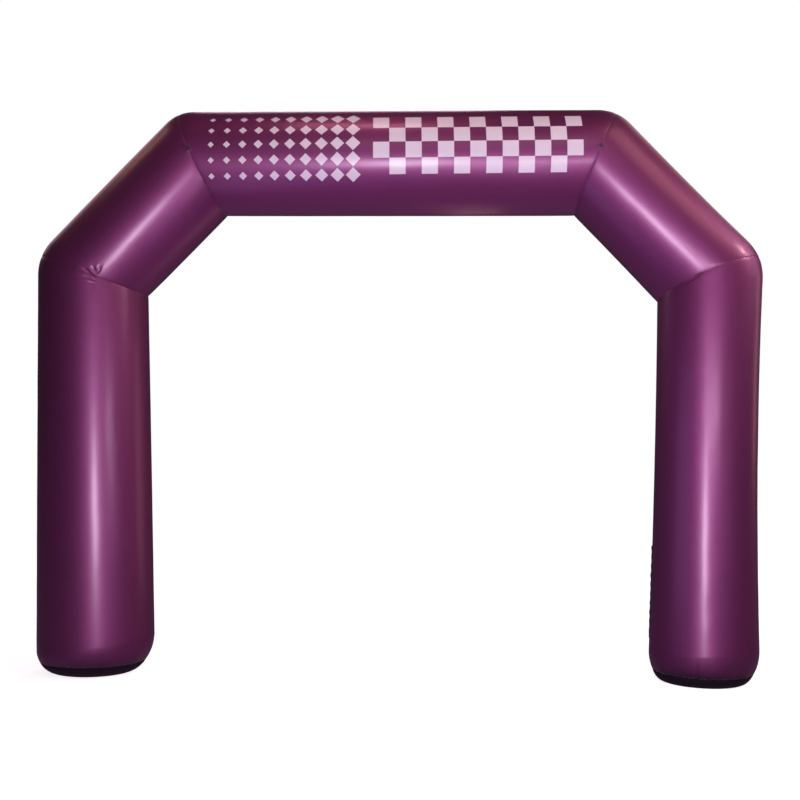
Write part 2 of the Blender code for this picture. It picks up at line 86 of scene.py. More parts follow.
# Runs: swell half way along (negative is a waist), sideways bow of the middle, loops of the fine skin
Run = namedtuple("Run", "name start end swell bow loops")
RUNS = (
    Run("leg_left", LEFT_FOOT, LOWER_LEFT, 0.001, 0.000, 112),
    Run("shoulder_left", LOWER_LEFT, UPPER_LEFT, 0.003, 0.000, 72),
    Run("crossbeam", UPPER_LEFT, UPPER_RIGHT, 0.002, 0.000, 112),
    Run("shoulder_right", UPPER_RIGHT, LOWER_RIGHT, -0.006, -0.004, 72),
    Run("leg_right", LOWER_RIGHT, RIGHT_FOOT, -0.020, -0.010, 112),
)
LEFT_LEG, BEAM, RIGHT_LEG = RUNS[0], RUNS[2], RUNS[4]
FOOT_LOOPS = 20
BASE_LOOPS = 24
TUBE_RADIUS = 0.44  # of the cloth's flat coordinates
END_CROWDING = 0.9  # how closely the loops crowd towards a run's ends, below 1
SEWN_DISTANCE = 0.00001  # between points that count as one
SHARP_ANGLE = math.radians(40)  # between faces whose edge stays sharp

# Slow unevenness of the stretched cloth
RIPPLE_SCALE = 2.6
RIPPLE_CALM = 0.25  # from a run's end to where it has its full depth

# Seams
SEAM_GAP = 0.00015  # from a seam to the edge of either cloth
SEAM_PINCH = 0.0025
SEAM_NECK = 0.014
BASE_PINCH = 0.006
BASE_NECK = 0.045
PUCKER_NECK = 0.0225

# Gathers that a seam leaves in the cloth: lobes round the tube, phase in radians, share of the depth
Gather = namedtuple("Gather", "lobes phase share")
GATHERS = (Gather(7, 0.4, 0.40), Gather(11, 2.1, 0.35), Gather(17, 4.0, 0.25))
PUCKERS = (Gather(61, 1.1, 0.5), Gather(83, 3.0, 0.3), Gather(107, 5.2, 0.2))
MITRE_GATHER_DEPTH = 0.0010
MITRE_GATHER_START = 0.012  # from a seam to where its gathers have their full depth
BASE_GATHER_DEPTH = 0.0050
BASE_PUCKER_DEPTH = 0.0022
BASE_SEAM = 0.090  # height of a base's seam, about
PAINTED_BASE_SHADE_HEIGHT = 0.060  # how fast the painted shade fades out above that seam
BASE_STITCH_SHARE = 0.955  # how far down the rounding the stitches of a base run, towards its seam
SEAM_LINE_POINTS = 720
STITCH_SIDES = 6
STITCH_LIFT = 0.4  # of a stitch's middle off the cloth, in thread radii

# Creases beside a joint. Around is the arc from the front line towards the passage, along the distance
# past the seam in path order, and heading turns from the passage side (0) to the path's direction (90)
Crease = namedtuple("Crease", "joint around along heading length width depth")
CREASE_SKEW = 0.8  # below 1, the deepest place lies before the middle
CREASE_TAPER = 1.3  # above 1, the ends run out more finely
CREASE_RIDGE = 0.9  # how high the ridges beside it stand
CREASES = (
    Crease(LOWER_LEFT, 0.157, 0.018, 112, 0.110, 0.015, 0.0050),
    Crease(LOWER_LEFT, 0.156, 0.012, 140, 0.115, 0.015, 0.0080),
    Crease(LOWER_LEFT, 0.160, -0.008, 162, 0.140, 0.015, 0.0085),
    Crease(LOWER_LEFT, 0.160, -0.036, 178, 0.115, 0.014, 0.0070),
    Crease(LOWER_LEFT, 0.160, -0.068, 181, 0.080, 0.013, 0.0055),
    Crease(LOWER_LEFT, 0.158, -0.098, 182, 0.065, 0.013, 0.0040),
    Crease(LOWER_RIGHT, 0.175, 0.004, 8, 0.180, 0.016, 0.0035),
)

# Single tucks over the base seams: arc from the front line towards the passage, width, height, depth
Tuck = namedtuple("Tuck", "foot around width height depth")
TUCKS = (
    Tuck(LEFT_FOOT, 0.185, 0.016, 0.070, 0.012),
    Tuck(LEFT_FOOT, 0.060, 0.024, 0.045, 0.006),
    Tuck(LEFT_FOOT, -0.130, 0.022, 0.050, 0.006),
    Tuck(RIGHT_FOOT, 0.180, 0.018, 0.075, 0.012),
    Tuck(RIGHT_FOOT, 0.020, 0.024, 0.045, 0.006),
    Tuck(RIGHT_FOOT, -0.150, 0.022, 0.050, 0.005),
)

# Closure strip
STRIP_ANGLE = math.radians(190)
STRIP_CALM = 0.20  # half width of the stretch of cloth beside it that lies without ripples, in radians
STRIP_WIDTH = 0.070
STRIP_BOTTOM = 0.330
STRIP_TOP = 1.080
STRIP_HEIGHT = STRIP_TOP - STRIP_BOTTOM
STRIP_CLOTH = 0.0024
STRIP_RISE = 0.0033  # from the leg's cloth to the strip's face, where it lies flat
STRIP_COLUMNS = 25
STRIP_ROWS = 361
STRIP_SCALLOPS = 10
SCALLOP_SPREAD = 2.6  # turns of the slow wave that makes the scallops uneven
SCALLOP_RISE = 0.0060
SCALLOP_SWAY = 0.0050
STRIP_PUCKERS = 43
STRIP_PUCKER = 0.0007  # of its edges, between two stitches
STRIP_HEM = 0.0055  # from its edge to its stitches
STRIP_LINE_POINTS = 400
STRIP_LINE_MARGIN = 0.01  # the share of its height that each end has without stitches
STRIP_EDGE = 0.0006  # rounding of its cut edges

# Tethers: a patch over the seam, a webbing tab and a D ring
PATCH_WIDTH = 0.052
PATCH_HEIGHT = 0.076
PATCH_CORNER = 4.0  # exponent of the rounded rectangle
PATCH_CLOTH = 0.0014
PATCH_HEM = 0.0045
PATCH_EDGE = 0.0003  # rounding of its cut edges
PATCH_INSET = 0.985  # its size before its cut edges are rounded
PATCH_PUCKERS = (Gather(23, 0.0, 0.00022), Gather(37, 1.0, 0.00012))  # the shares are in metres
PATCH_LIP = 0.0005  # how far its edge is drawn down
PATCH_RINGS = 16
PATCH_SPOKES = 120
TAB_WIDTH = 0.026
TAB_CLOTH = 0.0014
TAB_EDGE = 0.0004  # rounding of its edges
TAB_RISE = 0.020  # from the bar up to the tab's sewn end
RING_WIRE = 0.0019  # radius of the ring's wire
RING_INNER = 0.030  # length of the bar between the ring's sides
RING_DROP = 0.030  # from the bar's centre to the bow's centre line
RING_GAP = 0.0003
STITCH_RISE = 0.0003  # from the patch or the tab to a tether's stitches
PATCH_STITCH_POINTS = 160
TAB_STITCH_MARGIN = 0.002
TAB_STITCH_SHARES = (0.93, 0.64)  # how far up the tab its two rows are
TETHER_STITCHES = {"stitch_length": 0.0028, "stitch_pitch": 0.0038, "thread_radius": 0.0003}

# Print on the beam's front, in metres: arc from the front line (down is positive) and distance along
# the beam from its first seam's centre
CHECK_SQUARE = 0.1325
CHECK_ROWS = 4
CHECK_COLUMNS = 13
CHECK_TOP = -0.306
CHECK_START = 1.470
DIAMOND_STEP = 0.1290
DIAMOND_ROWS = 5
DIAMOND_COLUMNS = 10
DIAMOND_TOP = -0.356
DIAMOND_START = 0.080
DIAMOND_SMALLEST = 0.20  # half diagonal, as a share of the step
DIAMOND_GROWTH = 0.30
INK_DULL = (0.52, 0.56, 0.54)
INK_BRIGHT = (0.58, 0.62, 0.60)
INK_ROUGHNESS = 0.05  # what the ink adds to the cloth's roughness

# Shades of the coated cloth as shares of its dye, and how much of a shade is laid on
DEEP_SHADE = 0.86
PALE_SHADE = 1.14
# Painted shade in the seams' grooves: how dark it is, how much of it is laid on and how wide it is.
PAINTED_SEAM_SHADE = 0.30
PAINTED_SEAM_SHADE_SHARE = 0.08
PAINTED_SEAM_SHADE_WIDTH = 0.008
# The next two paint shade on the cloth towards its base, where its rounding turns away from the light.
PAINTED_BASE_SHADE = 0.04
PAINTED_BASE_SHADE_SHARE = 0.95
CLOUD_SCALE = 1.7  # waves per metre of the slow unevenness of its tone
MOTTLE_SCALE = 14.0  # and of the fine one
CREPE_DEPTH = 0.0012  # of the small drag marks in it
THREAD_DEPTH = 0.15  # of its weave, in pitches
COAT = 0.55
COAT_ROUGHNESS = 0.28

# The black bases' cloth
BASE_WEAVE = 1.6  # how much coarser it is than the tubes' cloth
WRINKLE_DEPTH = 0.003
DUST_COLOUR = (0.030, 0.026, 0.022)
DUST_SHARE = 0.35
DUST_HEIGHT = 0.020

# Camera, as it stood for the photograph
CAMERA_PLACE = Vector((-0.0407, -8.1356, 1.53))
CAMERA_YAW = 0.005
CAMERA_PITCH = 0.09
CAMERA_ROLL = 0.014
CAMERA_LENS = 43.785
CAMERA_SENSOR = 36.0
CAMERA_REACH = 200.0

# Floor: how bright it is by itself under the arch, and how far out it has turned white
FLOOR_HALF = 60.0
FLOOR_DROP = 0.0005  # below the arch's flats
FLOOR_GLOW = 0.80
FLOOR_NEAR = 3.0
FLOOR_FAR = 11.0

WHITE = (1, 1, 1)

# The room that the cloth mirrors: its own colour, and the light that comes up from the floor
AMBIENT_COLOUR = (1.0, 0.70, 0.90)
FLOOR_LIGHT = (0.44, 0.20, 0.42)


def node_points(name):
    """The corners of a solid's loose triangles."""
    return np.array([vert.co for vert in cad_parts[name].data.vertices])


def arch_shift():
    """How far the frame of the solids stands from the frame of the rule, read at the left foot's flat."""
    points = node_points("base_left")
    flat = points[points[:, 2] < SEAM_GAP]
    middle = (flat.min(axis=0) + flat.max(axis=0)) / 2
    outward = math.copysign(LEFT_FOOT.flat_shift, LEFT_FOOT.x)
    return Vector((middle[0] - LEFT_FOOT.x - outward, middle[1] - LEFT_FOOT.y, 0))


ARCH_SHIFT = arch_shift()


# Nodes as Python expressions


class Wire:
    """A socket that takes part in formulas: each operator adds the Math node that it stands for."""

    def __init__(self, tree, socket):
        self.tree = tree
        self.socket = socket
        self.is_vector = socket.type == "VECTOR"

    def math(self, operation, *others):
        """A Math node on this value, with the others as its further inputs."""
        return operate(self.tree, "ShaderNodeMath", operation, self, *others)

    def vector_math(self, operation, *others, out="Vector"):
        """A Vector Math node on this vector."""
        return operate(self.tree, "ShaderNodeVectorMath", operation, self, *others, out=out)

    def either(self, operation, other):
        """A Vector Math node if this is a vector, or else a Math node."""
        return self.vector_math(operation, other) if self.is_vector else self.math(operation, other)

    def __rsub__(self, other):
        return operate(self.tree, "ShaderNodeMath", "SUBTRACT", other, self)

    def __mul__(self, other):
        if self.is_vector:
            values = {0: self, "Scale": other}
        elif isinstance(other, Vector) or (isinstance(other, Wire) and other.is_vector):
            values = {0: other, "Scale": self}
        else:
            return self.math("MULTIPLY", other)
        return add_node(self.tree, "ShaderNodeVectorMath", values, operation="SCALE").out()

    __rmul__ = __mul__

    def __rtruediv__(self, other):
        return operate(self.tree, "ShaderNodeMath", "DIVIDE", other, self)

    def __neg__(self):
        return self * -1.0

    __add__ = __radd__ = partialmethod(either, "ADD")
    __sub__ = partialmethod(either, "SUBTRACT")
    __truediv__ = partialmethod(math, "DIVIDE")
    __pow__ = partialmethod(math, "POWER")
    __abs__ = partialmethod(math, "ABSOLUTE")
    sin = partialmethod(math, "SINE")
    cos = partialmethod(math, "COSINE")
    exp = partialmethod(math, "EXPONENT")
    floor = partialmethod(math, "FLOOR")
    fract = partialmethod(math, "FRACT")
    least = partialmethod(math, "MINIMUM")
    most = partialmethod(math, "MAXIMUM")
    above = partialmethod(math, "GREATER_THAN")
    length = partialmethod(vector_math, "LENGTH", out="Value")
    normalized = partialmethod(vector_math, "NORMALIZE")

    def between(self, low, high):
        """1 where this is above the low value and not above the high one, else 0."""
        return self.above(low) * (1.0 - self.above(high))

    def clamped(self):
        """This value, held between 0 and 1."""
        return self.most(0.0).least(1.0)

    def part(self, axis):
        return add_node(self.tree, "ShaderNodeSeparateXYZ", {0: self}).out(axis)


class Node:
    """A node that was added to a tree."""

    def __init__(self, tree, node):
        self.tree = tree
        self.node = node

    def out(self, name=0):
        return Wire(self.tree, self.node.outputs[name])


def add_node(tree, kind, values=None, **settings):
    """Adds a node of this type. Its settings are set first, then its sockets get values or links."""
    node = tree.nodes.new(kind)
    for name, setting in settings.items():
        setattr(node, name, setting)
    fill(tree, node, values or {})
    return Node(tree, node)


def fill(tree, node, values):
    """Gives a node's sockets these values, or links them."""
    for name, value in values.items():
        if isinstance(value, Wire):
            tree.links.new(value.socket, node.inputs[name])
        elif value is not None:
            node.inputs[name].default_value = value


def operate(tree, kind, operation, *values, out=0):
    """A Math or Vector Math node on these values."""
    return add_node(tree, kind, dict(enumerate(values)), operation=operation).out(out)


def joined(tree, x, y, z=0.0):
    """A vector from three numbers or wires."""
    return add_node(tree, "ShaderNodeCombineXYZ", {0: x, 1: y, 2: z}).out()


# The arch's rule, with the seams' vectors worked out in Python and what varies over the cloth in nodes


def centre_of(end):
    """The centre line's point at a joint, or at the floor under a foot."""
    if isinstance(end, Foot):
        return Vector((end.x, end.y, 0))
    return Vector((end.x, 0, end.z))


def directions(run):
    """Unit vectors of a run: along it, away from the passage, and to the front."""
    along = (centre_of(run.end) - centre_of(run.start)).normalized()
    outward = along.cross(BACK).normalized()
    return along, outward, along.cross(outward)


def meeting_ways(joint):
    """The directions of the two runs that meet at a joint, in path order."""
    before = next(run for run in RUNS if run.end is joint)
    after = next(run for run in RUNS if run.start is joint)
    return directions(before)[0], directions(after)[0]


def mitre(joint):
    """The seam plane's two directions, outward (stretched as a mitre is) and front (leaning a little)."""
    before, after = meeting_ways(joint)
    normal = (before + after).normalized()
    front = (-BACK + normal * normal.dot(BACK)).normalized()
    return front.cross(normal) / before.dot(normal), front - normal * SEAM_LEAN


def corner_depth(joint):
    """How deep the outer corner of a mitre is rounded off at its seam."""
    before, after = meeting_ways(joint)
    slope = math.tan(before.angle(after) / 2)
    return joint.corner_run * slope / (2 + 2 * slope * slope)


def end_ring(run, end):
    """A run's end as (centre, outward, front): its ring is centre + outward cos + front sin."""
    if isinstance(end, Foot):
        along, outward, front = directions(run)
        upward = along if along.z > 0 else -along
        middle = (end.round_outer + end.round_inner) / 2
        lean = (end.round_outer - end.round_inner) / 2
        return centre_of(end) + upward * middle, outward * end.radius + upward * lean, front * end.radius
    outward, front = mitre(end)
    return centre_of(end), outward * end.radius, front * end.radius


def hump(share):
    """A rise from 0 at both ends of a stretch to 1 in its middle."""
    return share * (1.0 - share) * 4.0


class Cloth:
    """A run's cloth in one node tree: formulas of the angle and the reach."""

    def __init__(self, tree, run, angle):
        self.tree = tree
        self.run = run
        self.angle = angle
        self.cos = angle.cos()
        self.sin = angle.sin()
        _, self.outward, front = directions(run)
        self.side = self.ring(Vector(), self.outward, front)
        self.first = self.ring(*end_ring(run, run.start))
        self.last = self.ring(*end_ring(run, run.end))
        self.way = self.last - self.first
        self.length = self.way.length()

    def ring(self, centre, outward, front):
        return self.cos * outward + self.sin * front + centre

    def waves(self, gathers, phase):
        """Uneven folds round a seam, from -1 to 1."""
        total = 0.0
        for gather in gathers:
            total = (self.angle * gather.lobes + (gather.phase + phase)).cos() * gather.share + total
        return total

    def around(self, radius):
        return (self.angle - FRONT_ANGLE) * radius

    def crease(self, crease, along):
        """A soft valley with low ridges, deepest a third of the way from its start."""
        heading = math.radians(crease.heading)
        side = self.around(crease.joint.radius) - crease.around
        ahead = along - crease.along
        run = side * math.cos(heading) + ahead * math.sin(heading)
        across = ahead * math.cos(heading) - side * math.sin(heading)
        swell = (((run / crease.length).clamped() ** CREASE_SKEW) * math.pi).sin().most(0.0) ** CREASE_TAPER
        offset = (across / crease.width) ** 2
        return swell * (1.0 - offset * CREASE_RIDGE) * (-offset).exp() * crease.depth

    def base_drop(self, foot, height):
        """How far the cloth is drawn in beside a base's seam."""
        fade = (height / foot.seam).least(1.0)
        above = abs(height - foot.seam)
        neck = (above / -BASE_NECK).exp() * fade
        fine = (above / -PUCKER_NECK).exp() * fade
        total = (self.waves(GATHERS, foot.x) * BASE_GATHER_DEPTH + BASE_PINCH) * neck
        total = self.waves(PUCKERS, foot.x) * fine * BASE_PUCKER_DEPTH + total
        above = (height - foot.seam).most(0.0)
        for tuck in TUCKS:
            if tuck.foot is foot:
                offset = ((self.around(foot.radius) - tuck.around) / tuck.width) ** 2
                offset = offset + (above / tuck.height) ** 2
                total = (-offset).exp() * fade * tuck.depth + total
        return total

    def joint_drop(self, joint, distance):
        """How far the cloth is drawn in beside a mitre seam."""
        neck = (distance / -SEAM_NECK).exp()
        fade = (distance / MITRE_GATHER_START).least(1.0)
        gather = self.waves(GATHERS, joint.x) * fade * MITRE_GATHER_DEPTH
        rounding = (1.0 - (distance / joint.corner_run).least(1.0)) ** 2
        return self.cos.most(0.0) * rounding * corner_depth(joint) + (gather + SEAM_PINCH) * neck

    def wall_point(self, reach, ripple):
        """A point on the straight side of the run."""
        run = self.run
        share = reach / self.length
        middle = hump(share)
        point = self.first + self.way * share + self.side * (middle * run.swell + ripple)
        point = point + middle * (self.outward * run.bow)
        for end, distance, sign in ((run.start, reach, 1), (run.end, self.length - reach, -1)):
            if isinstance(end, Foot):
                point = point - self.side * self.base_drop(end, point.part("Z").most(end.seam))
                continue
            at_seam = self.ring(Vector(), *mitre(end))
            point = point - at_seam * self.joint_drop(end, distance)
            # A crease that crosses the seam stays in its plane there.
            inward = self.side + (at_seam - self.side) * (distance / -SEAM_NECK).exp()
            for crease in CREASES:
                if crease.joint is end:
                    point = point - inward * self.crease(crease, distance * sign)
        return point

    def foot_point(self, foot, share, from_seam):
        """A point of the rounding under a leg. The share runs from the straight side to the base seam,
        or from that seam to the flat."""
        wall = self.first if foot is self.run.start else self.last
        sign = math.copysign(1, foot.x)
        radius = foot.flat_radius
        centre = centre_of(foot) + Vector((sign * foot.flat_shift, 0, 0))
        flat = self.ring(centre, Vector((sign * radius, 0, 0)), Vector((0, -radius, 0)))
        top = wall.part("Z")
        edge = foot.seam - SEAM_GAP if from_seam else foot.seam + SEAM_GAP
        seam = (1.0 - edge / top).math("ARCSINE") * (2 / math.pi)
        share = seam + (1.0 - seam) * share if from_seam else seam * share
        turn = share * (math.pi / 2)
        gap = wall - flat
        sideways = joined(self.tree, gap.part("X"), gap.part("Y"))
        point = flat + sideways * turn.cos() + top * (1.0 - turn.sin()) * UP
        return point - sideways.normalized() * self.base_drop(foot, point.part("Z"))


# Meshes from node trees


def add_sockets(tree, in_out, kinds):
    """Gives a node group these inputs or outputs, and returns them by label."""
    return {
        label: tree.interface.new_socket(label, in_out=in_out, socket_type="NodeSocket" + kind)
        for label, kind in kinds.items()
    }


def new_tree(name, sizes):
    """A geometry node tree with inputs for a start mesh, these sizes and a material, and their wires."""
    tree = bpy.data.node_groups.new(name, "GeometryNodeTree")
    add_sockets(tree, "OUTPUT", {"Result": "Geometry"})
    kinds = {label: "Int" if isinstance(size, int) else "Float" for label, size in sizes.items()}
    labels = add_sockets(tree, "INPUT", {"Geometry": "Geometry", **kinds, "Material": "Material"})
    for label, size in sizes.items():
        labels[label].default_value = size
    source = add_node(tree, "NodeGroupInput")
    return tree, {label: source.out(label) for label in labels}


def end_tree(tree, geometry, material):
    """Realizes what the tree made, gives it its material and leads it out."""
    real = add_node(tree, "GeometryNodeRealizeInstances", {"Geometry": geometry}).out()
    done = add_node(tree, "GeometryNodeSetMaterial", {"Geometry": real, "Material": material}).out()
    add_node(tree, "NodeGroupOutput", {0: done})
    return tree


def add_object(name, data):
    """A new object in the scene."""
    obj = bpy.data.objects.new(name, data)
    bpy.context.scene.collection.objects.link(obj)
    return obj


def grow(name, tree, start=None, **inputs):
    """An object with the plain mesh that a geometry node tree makes, from a start mesh if it takes one."""
    start = start or bpy.data.meshes.new(name + "_start")
    holder = add_object(name, start)
    modifier = holder.modifiers.new("Grow", "NODES")
    modifier.node_group = tree
    sockets = {s.name: s.identifier for s in tree.interface.items_tree if s.in_out == "INPUT"}
    for label, value in inputs.items():
        modifier[sockets[label.replace("_", " ").capitalize()]] = value
    bpy.context.view_layer.update()
    evaluated = holder.evaluated_get(bpy.context.evaluated_depsgraph_get())
    mesh = bpy.data.meshes.new_from_object(evaluated)
    holder.modifiers.remove(modifier)
    holder.data = mesh
    bpy.data.meshes.remove(start)
    if not mesh.polygons:
        raise RuntimeError(f"{name}: its node tree made no faces")
    mesh.name = name
    return holder


def smooth(obj):
    obj.data.shade_smooth()
    obj.data.set_sharp_from_angle(angle=SHARP_ANGLE)


def close_ends(obj):
    """Closes each open loop of a mesh with a fan round its middle, and turns all faces outwards."""
    bm = bmesh.new()
    bm.from_mesh(obj.data)
    open_edges = {edge for edge in bm.edges if edge.is_boundary}
    while open_edges:
        loop, front = [], [open_edges.pop()]
        while front:
            edge = front.pop()
            loop.append(edge)
            linked = {other for vert in edge.verts for other in vert.link_edges} & open_edges
            open_edges -= linked
            front.extend(linked)
        verts = {vert for edge in loop for vert in edge.verts}
        hub = bm.verts.new(sum((vert.co for vert in verts), Vector()) / len(verts))
        for edge in loop:
            bm.faces.new((*edge.verts, hub))
    bmesh.ops.recalc_face_normals(bm, faces=bm.faces)
    bm.to_mesh(obj.data)
    bm.free()
    smooth(obj)


def face_outwards(obj, way):
    """Turns a sheet's faces so that they point this way on the whole."""
    if sum((face.normal for face in obj.data.polygons), Vector()).dot(way) < 0:
        obj.data.flip_normals()


def dress(obj, slot, *nodes):
    """Lets a finished piece ride on the arch, and hides these solids, whose place it takes."""
    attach(obj, "root")
    if nodes:
        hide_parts(*nodes)


def new_piece(name, shape, material):
    """An object from a bmesh that is laid out in the world."""
    mesh = bpy.data.meshes.new(name)
    shape.to_mesh(mesh)
    shape.free()
    mesh.materials.append(material)
    return add_object(name, mesh)


def round_edges(obj, width, sharp_angle):
    edge = obj.modifiers.new("Edge", "BEVEL")
    edge.width = width
    edge.segments = 2
    edge.limit_method = "ANGLE"
    edge.angle_limit = math.radians(sharp_angle)


def thicken(obj, thickness, rounding):
    """Gives a face its cloth's thickness, inwards, and rounds the cut edges."""
    wall = obj.modifiers.new("Cloth", "SOLIDIFY")
    wall.thickness = thickness
    wall.offset = -1.0
    wall.use_even_offset = True
    round_edges(obj, rounding, 50)


# Materials


def new_material(name):
    """A new material and its node tree."""
    material = bpy.data.materials.new(name)
    material.use_nodes = True
    return material, material.node_tree


def finished(material, **surface):
    """Gives a material's shader these values and links."""
    values = {name.replace("_", " "): value for name, value in surface.items()}
    fill(material.node_tree, material.node_tree.nodes["Principled BSDF"], values)
    return material


def object_place(tree):
    """The place on the piece's own object, in metres."""
    return add_node(tree, "ShaderNodeTexCoord").out("Object")


def cloth_place(tree):
    """The cloth's own flat coordinates in metres: round the tube from the front line, and along it."""
    place = add_node(tree, "ShaderNodeUVMap", uv_map="cloth").out()
    return place.part("X"), place.part("Y")


def noise(tree, scale, detail=2.0, roughness=0.5):
    """Noise on the object's coordinates, with a scale in waves per metre."""
    values = {"Vector": object_place(tree), "Scale": scale, "Detail": detail, "Roughness": roughness}
    return add_node(tree, "ShaderNodeTexNoise", values).out("Fac")


def weave(across, along, pitch):
    """The height of a plain weave, from 0 to 1, of threads this far apart."""
    turn = math.pi / pitch
    return ((across * turn).sin() * (along * turn).sin()) * 0.5 + 0.5


def blend_colours(tree, share, first, second):
    """A colour between two others, each of them a wire or red, green and blue."""
    first, second = (colour if isinstance(colour, Wire) else (*colour, 1) for colour in (first, second))
    return add_node(tree, "ShaderNodeMix", {0: share, 6: first, 7: second}, data_type="RGBA").out(2)


def bump(tree, height, distance, strength, normal=None):
    values = {"Height": height, "Distance": distance, "Strength": strength, "Normal": normal}
    return add_node(tree, "ShaderNodeBump", values).out()


def check_print(across, along):
    """1 on the white squares of the chequered band."""
    row = ((across - CHECK_TOP) / CHECK_SQUARE).floor()
    column = ((along - CHECK_START) / CHECK_SQUARE).floor()
    dark = ((row + column) * 0.5).fract() * 2.0
    inside = row.between(-0.5, CHECK_ROWS - 0.5) * column.between(-0.5, CHECK_COLUMNS - 0.5)
    return (1.0 - dark) * inside


def diamond_print(across, along):
    """1 on the white diamonds, which grow from the shoulder towards the chequered band."""
    down = (across - DIAMOND_TOP) / DIAMOND_STEP
    on = (along - DIAMOND_START) / DIAMOND_STEP
    inside = down.between(0.0, float(DIAMOND_ROWS)) * on.between(0.0, float(DIAMOND_COLUMNS))
    spread = abs(down.fract() - 0.5) + abs(on.fract() - 0.5)
    size = on.floor() * (DIAMOND_GROWTH / DIAMOND_COLUMNS) + DIAMOND_SMALLEST
    return size.above(spread) * inside


def coated_cloth(name, looks, printed=False):
    """Satin coated cloth: a fine weave under a thin film, uneven in tone, with painted shade along its seams
    and towards its base.
    """
    material, tree = new_material(name)
    across, along = cloth_place(tree)
    dye = Vector(looks.cloth_colour)
    tone = noise(tree, CLOUD_SCALE, 3.0) * 0.5 + noise(tree, MOTTLE_SCALE, 4.0) * 0.5
    colour = blend_colours(tree, tone, dye * DEEP_SHADE, dye * PALE_SHADE)
    # Painted shade along the seams, in the groove that each seam draws in.
    distance = add_node(tree, "ShaderNodeAttribute", attribute_name="seam").out("Fac")
    seam = (distance / -PAINTED_SEAM_SHADE_WIDTH).exp() * PAINTED_SEAM_SHADE_SHARE
    colour = blend_colours(tree, seam, colour, dye * PAINTED_SEAM_SHADE)
    # Painted shade: darker towards the base seam, where the cloth's rounding turns away from the light.
    painted_base_shade = ((object_place(tree).part("Z") - BASE_SEAM) / -PAINTED_BASE_SHADE_HEIGHT).exp().least(1.0)
    colour = blend_colours(tree, painted_base_shade * PAINTED_BASE_SHADE_SHARE, colour, dye * PAINTED_BASE_SHADE)
    roughness = noise(tree, 3.0, 3.0) * 0.06 + (looks.cloth_roughness - 0.03)
    metallic = looks.pearl
    if printed:
        ink = check_print(across, along).most(diamond_print(across, along))
        colour = blend_colours(tree, ink, colour, blend_colours(tree, tone, INK_DULL, INK_BRIGHT))
        roughness = ink * INK_ROUGHNESS + roughness
        metallic = (1.0 - ink) * metallic
    drag = bump(tree, noise(tree, 9.0), CREPE_DEPTH, 0.6)
    threads = weave(across, along, looks.weave_pitch)
    return finished(
        material,
        Base_Color=colour,
        Roughness=roughness,
        Metallic=metallic,
        Normal=bump(tree, threads, looks.weave_pitch * THREAD_DEPTH, 0.5, drag),
        Coat_Weight=COAT,
        Coat_Roughness=COAT_ROUGHNESS,
    )


def base_cloth(looks):
    """Matt black cloth, coarser in weave, scuffed and dusty towards the ground."""
    material, tree = new_material("black_base_cloth")
    across, along = cloth_place(tree)
    low = (object_place(tree).part("Z") / -DUST_HEIGHT).exp()
    scuff = noise(tree, 38.0, 5.0, 0.65)
    dust = (scuff * low).most(0.0) * DUST_SHARE
    wrinkles = bump(tree, noise(tree, 22.0, 3.0), WRINKLE_DEPTH, 0.5)
    threads = weave(across, along, looks.weave_pitch * BASE_WEAVE)
    return finished(
        material,
        Base_Color=blend_colours(tree, dust, looks.base_colour, DUST_COLOUR),
        Roughness=scuff * 0.22 + 0.58,
        Normal=bump(tree, threads, 0.0003, 0.5, wrinkles),
        Specular_IOR_Level=0.2,
    )


def dark_steel(looks):
    """Dark plated steel wire, worn lighter in patches."""
    material, tree = new_material("dark_steel")
    wear = noise(tree, 220.0, 4.0, 0.6)
    dark = Vector(looks.ring_colour)
    return finished(
        material,
        Base_Color=blend_colours(tree, wear, dark * 0.6, dark * 1.8),
        Roughness=wear * 0.25 + 0.25,
        Normal=bump(tree, noise(tree, 900.0), 0.00005, 0.5),
        Metallic=1.0,
    )


def sewing_thread(name, colour):
    """Sewing thread: twisted, a little lighter on its crowns."""
    material, tree = new_material(name)
    fleck = noise(tree, 700.0)
    tint = Vector(colour)
    return finished(
        material,
        Base_Color=blend_colours(tree, fleck, tint * 0.7, tint * 1.4),
        Roughness=fleck * 0.2 + 0.45,
        Normal=bump(tree, fleck, 0.0001, 0.6),
    )


def purple_thread(looks):
    """The thread of the tubes and the patches, which is made when it is first asked for."""
    return bpy.data.materials.get("purple_thread") or sewing_thread("purple_thread", looks.cloth_colour)


def plain_webbing():
    """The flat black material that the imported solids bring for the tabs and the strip."""
    return bpy.data.materials["black_webbing"]


# Node trees of the cloth pieces


def ripples(cloth, reach, depth):
    """Slow unevenness of the stretched cloth, which fades out at seams, feet and the closure strip."""
    place = joined(cloth.tree, cloth.cos * TUBE_RADIUS, cloth.sin * TUBE_RADIUS, reach)
    values = {"Vector": place, "W": cloth.run.end.x, "Scale": RIPPLE_SCALE, "Detail": 2.0}
    wave = add_node(cloth.tree, "ShaderNodeTexNoise", values, noise_dimensions="4D").out("Fac")
    calm = (reach / RIPPLE_CALM).least(1.0) * ((cloth.length - reach) / RIPPLE_CALM).least(1.0)
    if cloth.run is RIGHT_LEG:
        beside = ((cloth.angle - STRIP_ANGLE) / STRIP_CALM) ** 2
        calm = calm * (1.0 - (-(beside * beside)).exp())
    return (wave - 0.5) * calm * depth


def angle_at(share):
    """The angle at this share of the way round a tube, from the back round by the outer side."""
    return share * FULL_TURN - FRONT_ANGLE


def flat_grid(tree, columns, loops):
    """A grid whose points are at (share round, share along), with both from 0 to 1."""
    values = {"Size X": 1.0, "Size Y": 1.0, "Vertices X": columns, "Vertices Y": loops}
    grid = add_node(tree, "GeometryNodeMeshGrid", values).out("Mesh")
    place = add_node(tree, "GeometryNodeInputPosition").out()
    return grid, place.part("X") + 0.5, place.part("Y") + 0.5


